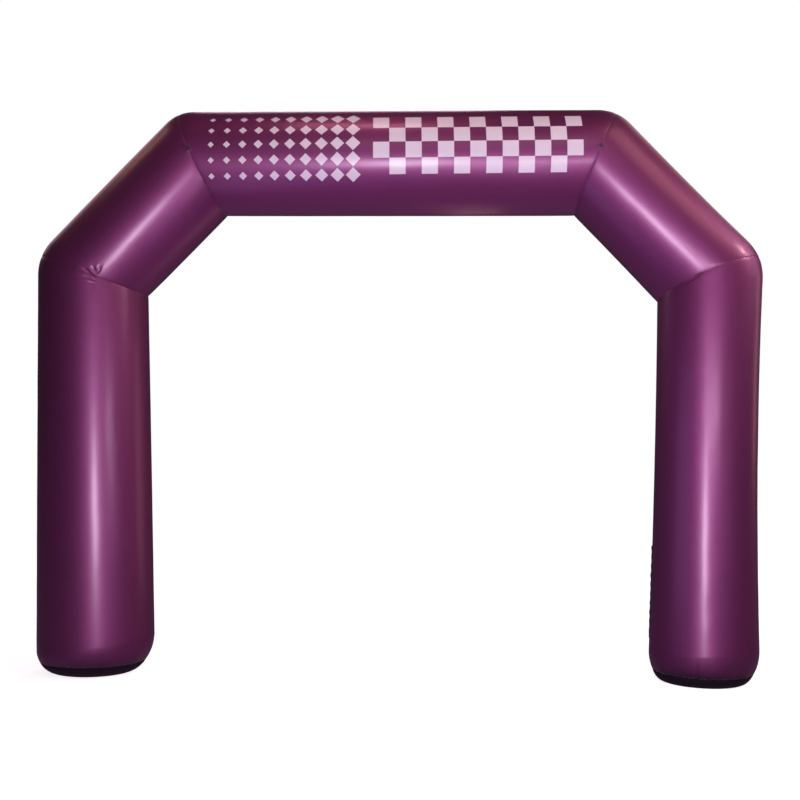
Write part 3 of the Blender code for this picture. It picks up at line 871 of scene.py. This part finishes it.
def keep_attribute(tree, mesh, name, value, data_type, domain="POINT"):
    """Stores a value on the mesh under this name."""
    values = {"Geometry": mesh, "Name": name, "Value": value}
    kind = "GeometryNodeStoreNamedAttribute"
    return add_node(tree, kind, values, data_type=data_type, domain=domain).out()


def lay_out(tree, grid, flat, point):
    """Moves a grid's points to their places, and keeps their places on the flat cloth."""
    mesh = keep_attribute(tree, grid, "cloth", flat, "FLOAT2", "CORNER")
    return add_node(tree, "GeometryNodeSetPosition", {"Geometry": mesh, "Position": point}).out()


def sewn(tree, mesh):
    """The two long edges of a wrapped grid sewn together."""
    values = {"Geometry": mesh, "Distance": SEWN_DISTANCE}
    return add_node(tree, "GeometryNodeMergeByDistance", values).out()


def run_group(run):
    """A node group with a run's whole rule: the cloth's point, side and distance from a seam."""
    tree = bpy.data.node_groups.new("Cloth of " + run.name, "GeometryNodeTree")
    add_sockets(tree, "INPUT", dict.fromkeys(("Angle", "Share", "Offset", "Under", "Ripple depth"), "Float"))
    add_sockets(tree, "OUTPUT", {"Point": "Vector", "Side": "Vector", "Seam": "Float", "Ahead": "Float"})
    given = add_node(tree, "NodeGroupInput")
    cloth = Cloth(tree, run, given.out("Angle"))
    # A mitred end stops short of its seam by the gap between the two cloths.
    low, high = (0.0 if isinstance(end, Foot) else SEAM_GAP for end in (run.start, run.end))
    reach = (given.out("Share") * cloth.length + given.out("Offset")).most(low).least(cloth.length - high)
    point = cloth.wall_point(reach, ripples(cloth, reach, given.out("Ripple depth")))
    seam = reach.least(cloth.length - reach)
    foot = next((end for end in (run.start, run.end) if isinstance(end, Foot)), None)
    if foot:
        under = given.out("Under")
        point = point + (cloth.foot_point(foot, under, False) - point) * under.above(0.0)
        other = cloth.length - reach if foot is run.start else reach
        seam = other.least(abs(point.part("Z") - foot.seam))
    along = directions(run)[0]
    ahead = (point - centre_of(run.start)).vector_math("DOT_PRODUCT", along, out="Value")
    values = {"Point": point + ARCH_SHIFT, "Side": cloth.side, "Seam": seam, "Ahead": ahead}
    add_node(tree, "NodeGroupOutput", values)
    return tree


def on_cloth(tree, run, angle, share, offset=0.0, under=0.0, ripple=0.0):
    """A run's rule at these places of another tree."""
    rule = bpy.data.node_groups.get("Cloth of " + run.name) or run_group(run)
    values = {"Angle": angle, "Share": share, "Offset": offset, "Under": under, "Ripple depth": ripple}
    return add_node(tree, "GeometryNodeGroup", values, node_tree=rule)


def tube_tree(run):
    """The tree of a run's skin: a flat grid, crowded towards the seams and wrapped round the rule."""
    tree, given = new_tree("Tube " + run.name, {"Sides": 480, "Loops": run.loops, "Ripple depth": 0.002})
    grid, round_share, share = flat_grid(tree, given["Sides"] + 1.0, given["Loops"])
    angle = angle_at(round_share)
    # On a leg, the first or last loops lie in the rounding of the foot.
    foot_part = FOOT_LOOPS / (run.loops - 1)
    under = 0.0
    if isinstance(run.start, Foot):
        under = (1.0 - share / foot_part).most(0.0)
        share = (share - foot_part) / (1 - foot_part)
    elif isinstance(run.end, Foot):
        under = ((share - (1 - foot_part)) / foot_part).most(0.0)
        share = share / (1 - foot_part)
    even = share.clamped()
    crowded = even - (even * FULL_TURN).sin() * (END_CROWDING / FULL_TURN)
    rule = on_cloth(tree, run, angle, crowded, under=under, ripple=given["Ripple depth"])
    # Each point's distance from its nearest seam, which the cloth's painted seam shade reads.
    mesh = keep_attribute(tree, grid, "seam", rule.out("Seam"), "FLOAT")
    flat = joined(tree, (angle - FRONT_ANGLE) * TUBE_RADIUS, rule.out("Ahead"))
    mesh = lay_out(tree, mesh, flat, rule.out("Point"))
    return end_tree(tree, sewn(tree, mesh), given["Material"])


def base_tree(run, foot):
    """The tree of a black base: its panel from the seam round to the flat."""
    tree, given = new_tree("Base " + run.name, {"Sides": 480, "Loops": BASE_LOOPS})
    grid, round_share, share = flat_grid(tree, given["Sides"] + 1.0, given["Loops"])
    cloth = Cloth(tree, run, angle_at(round_share))
    point = cloth.foot_point(foot, share, True)
    flat = joined(tree, cloth.around(foot.radius), share * (foot.radius * 0.6))
    mesh = lay_out(tree, grid, flat, point + ARCH_SHIFT)
    return end_tree(tree, sewn(tree, mesh), given["Material"])


def stitch_row(tree, cloth_line, length, pitch, thread):
    """Stitches along a line of points that knows its own outward directions."""
    values = {"Curve": cloth_line, "Length": pitch}
    spaced = add_node(tree, "GeometryNodeResampleCurve", values, mode="LENGTH").out()
    along = {"Vector": add_node(tree, "GeometryNodeInputTangent").out()}
    first = add_node(tree, "FunctionNodeAlignRotationToVector", along, axis="Z").out()
    off = add_node(tree, "GeometryNodeInputNamedAttribute", {"Name": "off"}, data_type="FLOAT_VECTOR").out()
    both = {"Rotation": first, "Vector": off}
    turned = add_node(tree, "FunctionNodeAlignRotationToVector", both, axis="X", pivot_axis="Z").out()
    size = {"Vertices": STITCH_SIDES, "Radius": thread, "Depth": length}
    bead = add_node(tree, "GeometryNodeMeshCylinder", size, fill_type="TRIANGLE_FAN").out("Mesh")
    points = {"Points": spaced, "Instance": bead, "Rotation": turned}
    return add_node(tree, "GeometryNodeInstanceOnPoints", points).out()


def on_line(tree, line, point, off, lift):
    """Lays a line on the cloth, so that it knows its outward directions."""
    marked = keep_attribute(tree, line, "off", off, "FLOAT_VECTOR")
    values = {"Geometry": marked, "Position": point + off * lift}
    return add_node(tree, "GeometryNodeSetPosition", values).out()


def line_share(tree):
    """How far along its line a point is, from 0 to 1."""
    return add_node(tree, "GeometryNodeSplineParameter").out("Factor")


def seam_line(tree, run, end, inset, lift):
    """A closed line that follows a seam at this inset."""
    values = {"Resolution": SEAM_LINE_POINTS, "Radius": 1.0}
    line = add_node(tree, "GeometryNodeCurvePrimitiveCircle", values).out()
    angle = angle_at(line_share(tree))
    share, inward = (0.0, 1.0) if end is run.start else (1.0, -1.0)
    if isinstance(end, Foot):
        rule = on_cloth(tree, run, angle, share, under=BASE_STITCH_SHARE)
    else:
        rule = on_cloth(tree, run, angle, share, inset * inward)
    return on_line(tree, line, rule.out("Point"), rule.out("Side"), lift)


def strip_line(tree, over, lift):
    """A line down the closure strip, at this share of its width."""
    line = add_node(tree, "GeometryNodeCurvePrimitiveLine", {"Start": (0, 0, 0), "End": UP}).out()
    values = {"Curve": line, "Count": STRIP_LINE_POINTS}
    line = add_node(tree, "GeometryNodeResampleCurve", values, mode="COUNT").out()
    down = line_share(tree) * (1.0 - 2 * STRIP_LINE_MARGIN) + STRIP_LINE_MARGIN
    point, off = strip_face(tree, over, down)
    return on_line(tree, line, point, off, lift)


def stitch_tree(name, make_lines):
    """The tree of the stitches on some lines, which are made from (tree, how far they lie off the cloth),
    or on the start mesh's own lines."""
    sizes = {"Stitch length": 0.006, "Stitch pitch": 0.009, "Thread radius": 0.0006}
    tree, given = new_tree(name, sizes)
    rows = add_node(tree, "GeometryNodeJoinGeometry")
    if make_lines:
        lines = make_lines(tree, given["Thread radius"] * STITCH_LIFT)
    else:
        lines = [add_node(tree, "GeometryNodeMeshToCurve", {0: given["Geometry"]}).out()]
    for line in lines:
        fill(tree, rows.node, {0: stitch_row(tree, line, *(given[size] for size in sizes))})
    return end_tree(tree, rows.out(), given["Material"])


def line_mesh(name, rows):
    """A mesh of lines. A row is (closed, points, the direction off the cloth)."""
    places, edges, offs = [], [], []
    for closed, points, off in rows:
        first = len(places)
        places += points
        offs += [off] * len(points)
        edges += [(first + k, first + k + 1) for k in range(len(points) - 1)]
        if closed:
            edges.append((len(places) - 1, first))
    mesh = bpy.data.meshes.new(name)
    mesh.from_pydata(places, edges, [])
    off_layer = mesh.attributes.new("off", "FLOAT_VECTOR", "POINT")
    off_layer.data.foreach_set("vector", [part for off in offs for part in off])
    return mesh


# The closure strip


def leg_side(run, angle):
    """A leg's straight side at this angle: its length, the height of its middle, and how steeply it
    falls from there to its end."""
    _, outward, front = directions(run)
    first, last = (
        centre + across * math.cos(angle) + ahead * math.sin(angle)
        for centre, across, ahead in (end_ring(run, run.start), end_ring(run, run.end))
    )
    side = outward * math.cos(angle) + front * math.sin(angle)
    length = (last - first).length
    middle = (first + last) / 2 + side * run.swell + outward * run.bow
    return length, middle.z, (middle.z - last.z) / (length * 0.5)


def strip_face(tree, over, down):
    """The face of the strip at these shares of its width and height, and the direction off it. Its edges
    sway, and it humps between the stitches that hold it."""
    length, middle, fall = leg_side(RIGHT_LEG, STRIP_ANGLE)
    wave = (down * (FULL_TURN * STRIP_SCALLOPS)).sin()
    uneven = (down * (FULL_TURN * SCALLOP_SPREAD) + 0.8).cos() * 0.25 + 0.75
    side = over * 2.0 - 1.0
    angle = (wave * uneven * SCALLOP_SWAY + STRIP_WIDTH / 2) * side / RIGHT_FOOT.radius + STRIP_ANGLE
    reach = down * (STRIP_HEIGHT / fall) + (length * 0.5 + (middle - STRIP_TOP) / fall)
    rule = on_cloth(tree, RIGHT_LEG, angle, 0.0, reach)
    edge = abs(side)
    rise = (wave * 0.5 + 0.5) * uneven * (1.0 - edge * 0.6) * SCALLOP_RISE
    fine = (down * (FULL_TURN * STRIP_PUCKERS) + side * 1.4).sin() * (edge ** 3) * STRIP_PUCKER
    off = rule.out("Side")
    return rule.out("Point") + off * (rise + fine + STRIP_RISE), off


def strip_tree():
    """The tree of the closure strip's face."""
    tree, given = new_tree("Closure strip", {"Columns": STRIP_COLUMNS, "Rows": STRIP_ROWS})
    grid, over, down = flat_grid(tree, given["Columns"], given["Rows"])
    point, _ = strip_face(tree, over, down)
    flat = joined(tree, over * STRIP_WIDTH, down * STRIP_HEIGHT)
    return end_tree(tree, lay_out(tree, grid, flat, point), given["Material"])


# The tethers


def spread_ways(points):
    """The directions in which points spread most, second most and least."""
    return [Vector(way) for way in np.linalg.svd(points - points.mean(axis=0), full_matrices=False)[2]]


def half_circle(radius, centre, start, steps):
    """Points of a half turn from this angle on, round a centre on the second axis."""
    turns = [start + math.pi * k / steps for k in range(steps + 1)]
    return [(radius * math.cos(turn), centre + radius * math.sin(turn)) for turn in turns]


class Tether:
    """Where a tether sits, read from its ring's solid: the middle of the bar, and the directions along
    the bar, down the cloth and off it."""

    def __init__(self, side):
        self.side = side
        points = node_points("ring_" + side)
        off = spread_ways(points)[2]
        self.off = off if off.y < 0 else -off
        self.across = UP.cross(self.off).normalized()
        self.down = self.across.cross(self.off)
        low, high = (
            [limit(points @ np.array(way)) for way in (self.across, self.down, self.off)]
            for limit in (np.min, np.max)
        )
        self.middle = self.across * ((low[0] + high[0]) / 2) + self.off * ((low[2] + high[2]) / 2)
        self.middle += self.down * (low[1] + RING_WIRE)

    def at(self, across, down, off=0.0):
        return self.middle + self.across * across + self.down * down + self.off * off


def ring_piece(tether, material):
    """The D ring: a straight bar in the tab's loop and a bow that hangs from it."""
    half = RING_INNER / 2 + RING_WIRE
    outline = [(half * (k / 4 - 1), 0.0) for k in range(8)]
    outline += half_circle(half, RING_DROP - half, 0.0, 36)
    name = f"ring_{tether.side}_wire"
    curve = bpy.data.curves.new(name, "CURVE")
    curve.dimensions = "3D"
    curve.bevel_depth = RING_WIRE
    curve.bevel_resolution = 4
    spline = curve.splines.new("POLY")
    spline.points.add(len(outline) - 1)
    for point, (across, down) in zip(spline.points, outline):
        point.co = (*tether.at(across, down), 1)
    spline.use_cyclic_u = True
    curve.materials.append(material)
    ring = add_object(name, curve)
    mesh = bpy.data.meshes.new_from_object(ring)
    bpy.data.objects.remove(ring)
    mesh.shade_smooth()
    return add_object(name, mesh)


def tab_piece(tether, material):
    """A webbing loop round the ring's bar, with its two layers sewn together above it."""
    inner = RING_WIRE + RING_GAP
    outer = inner + TAB_CLOTH
    quarter = math.pi / 2
    # Down the back layer, round under the bar, and up the front layer, which closes on the back one.
    outside = [(-TAB_RISE, -outer), (-TAB_RISE * 0.5, -outer)]
    outside += half_circle(outer, 0.0, -quarter, 20)
    outside += [(-inner * 1.2, outer), (-TAB_RISE * 0.3, 0.1 * outer)]
    outside += [(-TAB_RISE * 0.55, -outer + 2.2 * TAB_CLOTH), (-TAB_RISE, -outer + 2 * TAB_CLOTH)]
    inside = half_circle(inner, 0.0, -quarter, 20) + half_circle(inner, 0.0, quarter, 20)[1:-1]
    bm = bmesh.new()
    sides = []
    for shift in (-TAB_WIDTH / 2, TAB_WIDTH / 2):
        rims = [
            [bm.verts.new(tether.at(shift, *place)) for place in outline] for outline in (outside, inside)
        ]
        sides.append(rims)
        edges = [bm.edges.new((rim[k], rim[k - 1])) for rim in rims for k in range(len(rim))]
        bmesh.ops.triangle_fill(bm, use_beauty=True, edges=edges)
    for near, far in zip(*sides):
        for k in range(len(near)):
            bm.faces.new((near[k - 1], near[k], far[k], far[k - 1]))
    bmesh.ops.recalc_face_normals(bm, faces=bm.faces)
    tab = new_piece(f"tab_{tether.side}_sewn", bm, material)
    smooth(tab)
    round_edges(tab, TAB_EDGE, 60)
    return tab


def patch_outline(turn, share):
    """A point of the patch's rounded rectangle, shrunk to a share of its size."""
    return tuple(
        math.copysign(abs(way) ** (2.0 / PATCH_CORNER), way) * size / 2 * share
        for way, size in ((math.cos(turn), PATCH_WIDTH), (math.sin(turn), PATCH_HEIGHT))
    )


class PatchFace:
    """The face of a patch over its seam, as its solid has it."""

    def __init__(self, tether):
        self.tether = tether
        bm = bmesh.new()
        bm.from_mesh(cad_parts["patch_" + tether.side].data)
        bmesh.ops.remove_doubles(bm, verts=bm.verts, dist=0.00002)
        points = np.array([vert.co for vert in bm.verts])
        self.centre = Vector(points.mean(axis=0))
        # The seam's own direction: along the solid's longer side, in the face's plane.
        self.long_way = spread_ways(points)[0]
        self.wide_way = tether.off.cross(self.long_way).normalized()
        self.tree = BVHTree.FromBMesh(bm)
        bm.free()

    def at(self, across, down, rise=0.0):
        off = self.tether.off
        over = self.centre + self.wide_way * across + self.long_way * down
        hit = self.tree.ray_cast(over + off * 0.05, -off)[0]
        return (hit or self.tree.find_nearest(over)[0]) + off * rise


def patch_piece(tether, face, material):
    """A patch of the tubes' cloth, puckered a little round its sewn edge."""
    bm = bmesh.new()
    flat = bm.loops.layers.uv.new("cloth")
    # Distance from the patch's sewn edge, which the cloth's painted seam shade reads.
    edge_layer = bm.verts.layers.float.new("seam")
    hub = bm.verts.new(face.at(0.0, 0.0))
    hub[edge_layer] = PATCH_WIDTH / 2
    places = {hub: (0.0, 0.0)}
    loops = []
    for ring in range(1, PATCH_RINGS + 1):
        share = PATCH_INSET * (ring / PATCH_RINGS) ** 0.8
        loop = []
        for spoke in range(PATCH_SPOKES):
            turn = FULL_TURN * spoke / PATCH_SPOKES
            place = patch_outline(turn, share)
            pucker = sum(fold.share * math.cos(turn * fold.lobes + fold.phase) for fold in PATCH_PUCKERS)
            vert = bm.verts.new(face.at(*place, pucker * share ** 4 - PATCH_LIP * share ** 16))
            vert[edge_layer] = (1.0 - share) * PATCH_WIDTH / 2 + 0.004
            places[vert] = place
            loop.append(vert)
        loops.append(loop)
    for spoke in range(PATCH_SPOKES):
        bm.faces.new((hub, loops[0][spoke - 1], loops[0][spoke]))
        for inner, outer in zip(loops, loops[1:]):
            bm.faces.new((inner[spoke - 1], outer[spoke - 1], outer[spoke], inner[spoke]))
    for bm_face in bm.faces:
        for corner in bm_face.loops:
            corner[flat].uv = places[corner.vert]
    patch = new_piece(f"patch_{tether.side}_sewn", bm, material)
    face_outwards(patch, tether.off)
    patch.data.shade_smooth()
    thicken(patch, PATCH_CLOTH, PATCH_EDGE)
    return patch


def tether_rows(tether, face):
    """The stitches of a tether: round inside the patch's edge, and twice across the tab's sewn end."""
    share = 1.0 - PATCH_HEM / (PATCH_WIDTH / 2)
    turns = [FULL_TURN * k / PATCH_STITCH_POINTS for k in range(PATCH_STITCH_POINTS)]
    rows = [(True, [face.at(*patch_outline(turn, share), STITCH_RISE) for turn in turns], tether.off)]
    half = TAB_WIDTH / 2 - TAB_STITCH_MARGIN
    off = TAB_CLOTH - RING_WIRE - RING_GAP + STITCH_RISE
    for up in TAB_STITCH_SHARES:
        row = [tether.at(half * (k / 10 - 1), -up * TAB_RISE, off) for k in range(21)]
        rows.append((False, row, tether.off))
    return rows


# Settings


def colour_setting(name, description, default):
    return FloatVectorProperty(name=name, description=description, subtype="COLOR", default=default)


def length_setting(name, description, default):
    return FloatProperty(name=name, description=description, default=default, unit="LENGTH")


def share_setting(name, description, default):
    return FloatProperty(name=name, description=description, default=default, subtype="FACTOR")


class ArchLooks(PropertyGroup):
    """Colours and fine sizes of the arch."""

    cloth_colour: colour_setting("Cloth", "Colour of the tubes", (0.146, 0.027, 0.104))
    base_colour: colour_setting("Base", "Colour of the black parts", (0.003, 0.003, 0.004))
    ring_colour: colour_setting("Ring", "Colour of the tether rings", (0.08, 0.08, 0.085))
    cloth_roughness: share_setting("Cloth roughness", "Roughness of the dyed threads", 0.52)
    pearl: share_setting("Pearl", "Share of the light that the threads mirror", 0.72)
    weave_pitch: length_setting("Weave pitch", "Distance between two threads", 0.0009)
    tube_sides: IntProperty(name="Tube sides", description="Faces round a tube", default=480)
    ripple_depth: length_setting("Ripple depth", "Unevenness of the tubes", 0.004)
    stitch_length: length_setting("Stitch length", "Length of one stitch", 0.006)
    stitch_pitch: length_setting("Stitch pitch", "Distance between stitches", 0.009)
    stitch_inset: length_setting("Stitch inset", "From a seam to its row of stitches", 0.009)
    thread_radius: length_setting("Thread radius", "Radius of the sewing thread", 0.0006)


class ArchStage(PropertyGroup):
    """Light and floor."""

    floor_colour: colour_setting("Floor", "Colour of the floor", (0.85, 0.85, 0.86))
    flash_power: FloatProperty(
        name="Flash", description="Power of the light beside the camera", default=480.0, unit="POWER"
    )
    ambient: FloatProperty(
        name="Ambient", description="Strength of the light from all round", default=0.04
    )


# Operators


class ARCH_OT_tubes(Operator):
    """Sew the five tubes"""

    bl_idname = "arch.tubes"
    bl_label = "Tubes"

    def execute(self, context):
        looks = context.scene.arch_looks
        plain = coated_cloth("purple_coated_cloth", looks)
        printed = coated_cloth("printed_coated_cloth", looks, printed=True)
        for run in RUNS:
            material = printed if run is BEAM else plain
            sizes = {"sides": looks.tube_sides, "loops": run.loops, "ripple_depth": looks.ripple_depth}
            skin = grow(run.name + "_skin", tube_tree(run), material=material, **sizes)
            close_ends(skin)
            dress(skin, "purple_cloth", run.name)
        return {"FINISHED"}


class ARCH_OT_bases(Operator):
    """Sew the black bases"""

    bl_idname = "arch.bases"
    bl_label = "Bases"

    def execute(self, context):
        looks = context.scene.arch_looks
        sizes = {"sides": looks.tube_sides, "loops": BASE_LOOPS, "material": base_cloth(looks)}
        for side, run, foot in (("left", LEFT_LEG, LEFT_FOOT), ("right", RIGHT_LEG, RIGHT_FOOT)):
            skin = grow(f"base_{side}_skin", base_tree(run, foot), **sizes)
            close_ends(skin)
            dress(skin, "black_cloth", "base_" + side)
        return {"FINISHED"}


class ARCH_OT_tethers(Operator):
    """Sew on the tether patches and tabs, and finish their rings"""

    bl_idname = "arch.tethers"
    bl_label = "Tethers"

    def execute(self, context):
        looks = context.scene.arch_looks
        cloth = bpy.data.materials["purple_coated_cloth"]
        band = plain_webbing()
        steel = dark_steel(looks)
        thread = purple_thread(looks)
        for side in ("left", "right"):
            tether = Tether(side)
            face = PatchFace(tether)
            patch = patch_piece(tether, face, cloth)
            dress(patch, "purple_cloth", "patch_" + side)
            dress(tab_piece(tether, band), "black_webbing", "tab_" + side)
            dress(ring_piece(tether, steel), "dark_steel", "ring_" + side)
            rows = line_mesh(f"tether_{side}_rows", tether_rows(tether, face))
            tree = stitch_tree("Tether stitches", None)
            stitches = grow(f"tether_{side}_stitches", tree, rows, material=thread, **TETHER_STITCHES)
            dress(stitches, "purple_cloth")
        return {"FINISHED"}


class ARCH_OT_closure_strip(Operator):
    """Sew on the closure strip"""

    bl_idname = "arch.closure_strip"
    bl_label = "Closure strip"

    def execute(self, context):
        strip = grow("closure_strip_sewn", strip_tree(), material=plain_webbing())
        strip.data.shade_smooth()
        face_outwards(strip, -Vector((1, 0, 0)))
        thicken(strip, STRIP_CLOTH, STRIP_EDGE)
        dress(strip, "black_webbing", "closure_strip")
        return {"FINISHED"}


class ARCH_OT_stitches(Operator):
    """Sew the rows of stitches beside the seams"""

    bl_idname = "arch.stitches"
    bl_label = "Stitches"

    def execute(self, context):
        looks = context.scene.arch_looks
        purple = purple_thread(looks)
        black = sewing_thread("black_thread", looks.base_colour)
        sizes = {name: getattr(looks, name) for name in TETHER_STITCHES}

        def beside_seams(kind):
            ends = [(run, end) for run in RUNS for end in (run.start, run.end) if isinstance(end, kind)]
            return lambda tree, lift: [
                seam_line(tree, run, end, looks.stitch_inset, lift) for run, end in ends
            ]

        def down_strip(tree, lift):
            hem = STRIP_HEM / STRIP_WIDTH
            return [strip_line(tree, share, lift) for share in (hem, 1.0 - hem)]

        for name, make_lines, thread, slot in (
            ("mitre_stitches", beside_seams(Joint), purple, "purple_cloth"),
            ("base_stitches", beside_seams(Foot), purple, "purple_cloth"),
            ("strip_stitches", down_strip, black, "black_webbing"),
        ):
            dress(grow(name, stitch_tree(name, make_lines), material=thread, **sizes), slot)
        return {"FINISHED"}


class ARCH_OT_stage(Operator):
    """Set up the floor, the lights and the camera"""

    bl_idname = "arch.stage"
    bl_label = "Stage"

    def execute(self, context):
        stage = context.scene.arch_stage
        add_floor(stage)
        add_world(stage)
        add_lights(stage)
        add_camera(context.scene)
        context.scene.view_settings.view_transform = "Standard"
        return {"FINISHED"}


def add_floor(stage):
    """A plain pale floor that lights nothing by itself."""
    mesh = bpy.data.meshes.new("floor")
    corners = [(x * FLOOR_HALF, y * FLOOR_HALF, -FLOOR_DROP) for x, y in ((-1, -1), (1, -1), (1, 1), (-1, 1))]
    mesh.from_pydata(corners, [], [(0, 1, 2, 3)])
    floor = add_object("floor", mesh)
    material, tree = new_material("pale_floor")
    pale = Vector(stage.floor_colour)
    far = ((object_place(tree).length() - FLOOR_NEAR) / (FLOOR_FAR - FLOOR_NEAR)).clamped()
    finished(
        material,
        Base_Color=blend_colours(tree, noise(tree, 6.0), pale * 0.99, pale),
        Roughness=0.9,
        Specular_IOR_Level=0.1,
        Emission_Color=blend_colours(tree, far, [FLOOR_GLOW] * 3, WHITE),
        Emission_Strength=1.0,
    )
    mesh.materials.append(material)
    floor.visible_diffuse = False
    floor.visible_glossy = False


def add_world(stage):
    """White behind the arch, and a dim room for its reflections."""
    world = bpy.data.worlds.new("studio")
    world.use_nodes = True
    tree = world.node_tree
    tree.nodes.clear()
    low = (add_node(tree, "ShaderNodeTexCoord").out("Generated").part("Z") * -1.0).most(0.0)
    bounced = blend_colours(tree, low, AMBIENT_COLOUR, Vector(FLOOR_LIGHT) / stage.ambient)
    room = add_node(tree, "ShaderNodeBackground", {"Color": bounced, "Strength": stage.ambient}).out()
    white = add_node(tree, "ShaderNodeBackground", {"Color": (*WHITE, 1), "Strength": 1.0}).out()
    seen = add_node(tree, "ShaderNodeLightPath").out("Is Camera Ray")
    mixed = add_node(tree, "ShaderNodeMixShader", {0: seen, 1: room, 2: white}).out()
    add_node(tree, "ShaderNodeOutputWorld", {"Surface": mixed})
    bpy.context.scene.world = world


Lamp = namedtuple("Lamp", "name place target width height power colour")


def add_lights(stage):
    """Soft lamps, each for a highlight or a rim of the arch in the photograph. The camera sees none."""
    lamps = (
        Lamp("flash", (0.12, -8.90, 1.60), (0, 0, 1.60), 0.36, 1.40, stage.flash_power, (0.97, 0.76, 1.0)),
        Lamp("soft_box_right", (2.7, -5.1, 2.80), (1.6, 0, 4.3), 1.8, 0.25, 70.0, (0.98, 0.74, 0.97)),
        Lamp("strip_to_right_leg", (1.55, -3.8, 2.4), (2.45, 0, 2.4), 0.15, 1.8, 16.0, (0.97, 0.76, 1.0)),
        Lamp("bank_front", (1.0, -6.5, 7.5), (0, 0, 3.6), 5.0, 2.5, 90.0, (1.0, 0.58, 0.72)),
        Lamp("bank_low_right", (6.5, -7.0, 2.2), (0, 0, 2.2), 4.0, 3.0, 20.0, (1.0, 0.60, 0.86)),
        Lamp("panel_to_right_leg", (-1.4, -1.8, 1.8), (2.5, 0, 1.9), 2.2, 2.6, 18.0, (0.60, 0.45, 1.0)),
        Lamp("panel_to_left_leg", (0.8, 1.5, 2.0), (-2.5, 0, 1.9), 1.0, 2.8, 7.0, (1.0, 0.50, 0.50)),
        Lamp("ceiling_lamp", (-0.5, -1.5, 8.0), (0, 0, 2.2), 1.6, 0.5, 38.0, (1.0, 0.42, 0.50)),
        Lamp("bank_front_right", (6.0, -3.4, 8.6), (0, 0, 2.2), 3.8, 3.8, 125.0, (1.0, 0.56, 0.44)),
        Lamp("bank_right", (8.0, 0.0, 6.4), (0, 0, 2.2), 4.5, 4.5, 100.0, (1.0, 0.45, 0.74)),
        Lamp("lamp_high_right", (8.6, -1.1, 7.3), (0, 0, 2.2), 0.9, 0.9, 130.0, (1.0, 0.66, 0.66)),
        Lamp("far_lamp_right", (25.0, 10.5, 5.5), (0, 0, 2.2), 3.0, 7.0, 180.0, (1.0, 0.50, 0.50)),
        Lamp("bank_right_behind", (5.6, 5.6, 8.4), (0, 0, 2.2), 4.0, 4.0, 60.0, (1.0, 0.60, 0.60)),
        Lamp("bank_behind", (-1.0, 7.0, 9.2), (0, 0, 2.2), 5.0, 3.0, 170.0, (1.0, 0.75, 0.95)),
        Lamp("bank_left_behind", (-6.4, 5.6, 7.6), (0, 0, 2.2), 4.0, 4.0, 60.0, (1.0, 0.60, 0.70)),
        Lamp("lamp_high_left", (-6.0, 1.2, 8.4), (-1.8, 0, 4.4), 1.2, 1.2, 14.0, (1.0, 0.52, 0.30)),
    )
    for lamp in lamps:
        data = bpy.data.lights.new(lamp.name, "AREA")
        data.shape = "RECTANGLE"
        data.size = lamp.width
        data.size_y = lamp.height
        data.energy = lamp.power
        data.color = lamp.colour
        obj = add_object(lamp.name, data)
        obj.location = lamp.place
        obj.visible_camera = False
        aim = Vector(lamp.target) - Vector(lamp.place)
        obj.rotation_euler = aim.to_track_quat("-Z", "Y").to_euler()


def add_camera(scene):
    """The camera at the photograph's place and angle."""
    flat = Vector((math.sin(CAMERA_YAW), math.cos(CAMERA_YAW), 0))
    ahead = flat * math.cos(CAMERA_PITCH) + UP * math.sin(CAMERA_PITCH)
    level = Vector((math.cos(CAMERA_YAW), -math.sin(CAMERA_YAW), 0))
    upright = level.cross(ahead)
    right = level * math.cos(CAMERA_ROLL) + upright * math.sin(CAMERA_ROLL)
    above = upright * math.cos(CAMERA_ROLL) - level * math.sin(CAMERA_ROLL)
    data = bpy.data.cameras.new("camera")
    data.sensor_width = CAMERA_SENSOR
    data.lens = CAMERA_LENS
    data.clip_end = CAMERA_REACH
    turn = Matrix((right, above, -ahead)).transposed()
    scene.camera = add_object("camera", data)
    scene.camera.matrix_world = Matrix.Translation(CAMERA_PLACE) @ turn.to_4x4()


class ARCH_PT_panel(Panel):
    """The arch's pieces and looks"""

    bl_idname = "ARCH_PT_panel"
    bl_label = "Inflatable arch"
    bl_space_type = "VIEW_3D"
    bl_region_type = "UI"
    bl_category = "Arch"

    def draw(self, context):
        layout = self.layout
        for group in (context.scene.arch_looks, context.scene.arch_stage):
            for name in group.__annotations__:
                layout.prop(group, name)
        for operator in OPERATORS:
            layout.operator(operator.bl_idname)


OPERATORS = (
    ARCH_OT_tubes,
    ARCH_OT_bases,
    ARCH_OT_tethers,
    ARCH_OT_closure_strip,
    ARCH_OT_stitches,
    ARCH_OT_stage,
)
CLASSES = (ArchLooks, ArchStage, *OPERATORS, ARCH_PT_panel)


def register():
    for cls in CLASSES:
        bpy.utils.register_class(cls)
    bpy.types.Scene.arch_looks = PointerProperty(type=ArchLooks)
    bpy.types.Scene.arch_stage = PointerProperty(type=ArchStage)


def unregister():
    del bpy.types.Scene.arch_stage
    del bpy.types.Scene.arch_looks
    for cls in reversed(CLASSES):
        bpy.utils.unregister_class(cls)


def main():
    register()
    bpy.ops.arch.tubes()
    bpy.ops.arch.bases()
    bpy.ops.arch.tethers()
    bpy.ops.arch.closure_strip()
    bpy.ops.arch.stitches()
    bpy.ops.arch.stage()


if __name__ == "__main__":
    main()
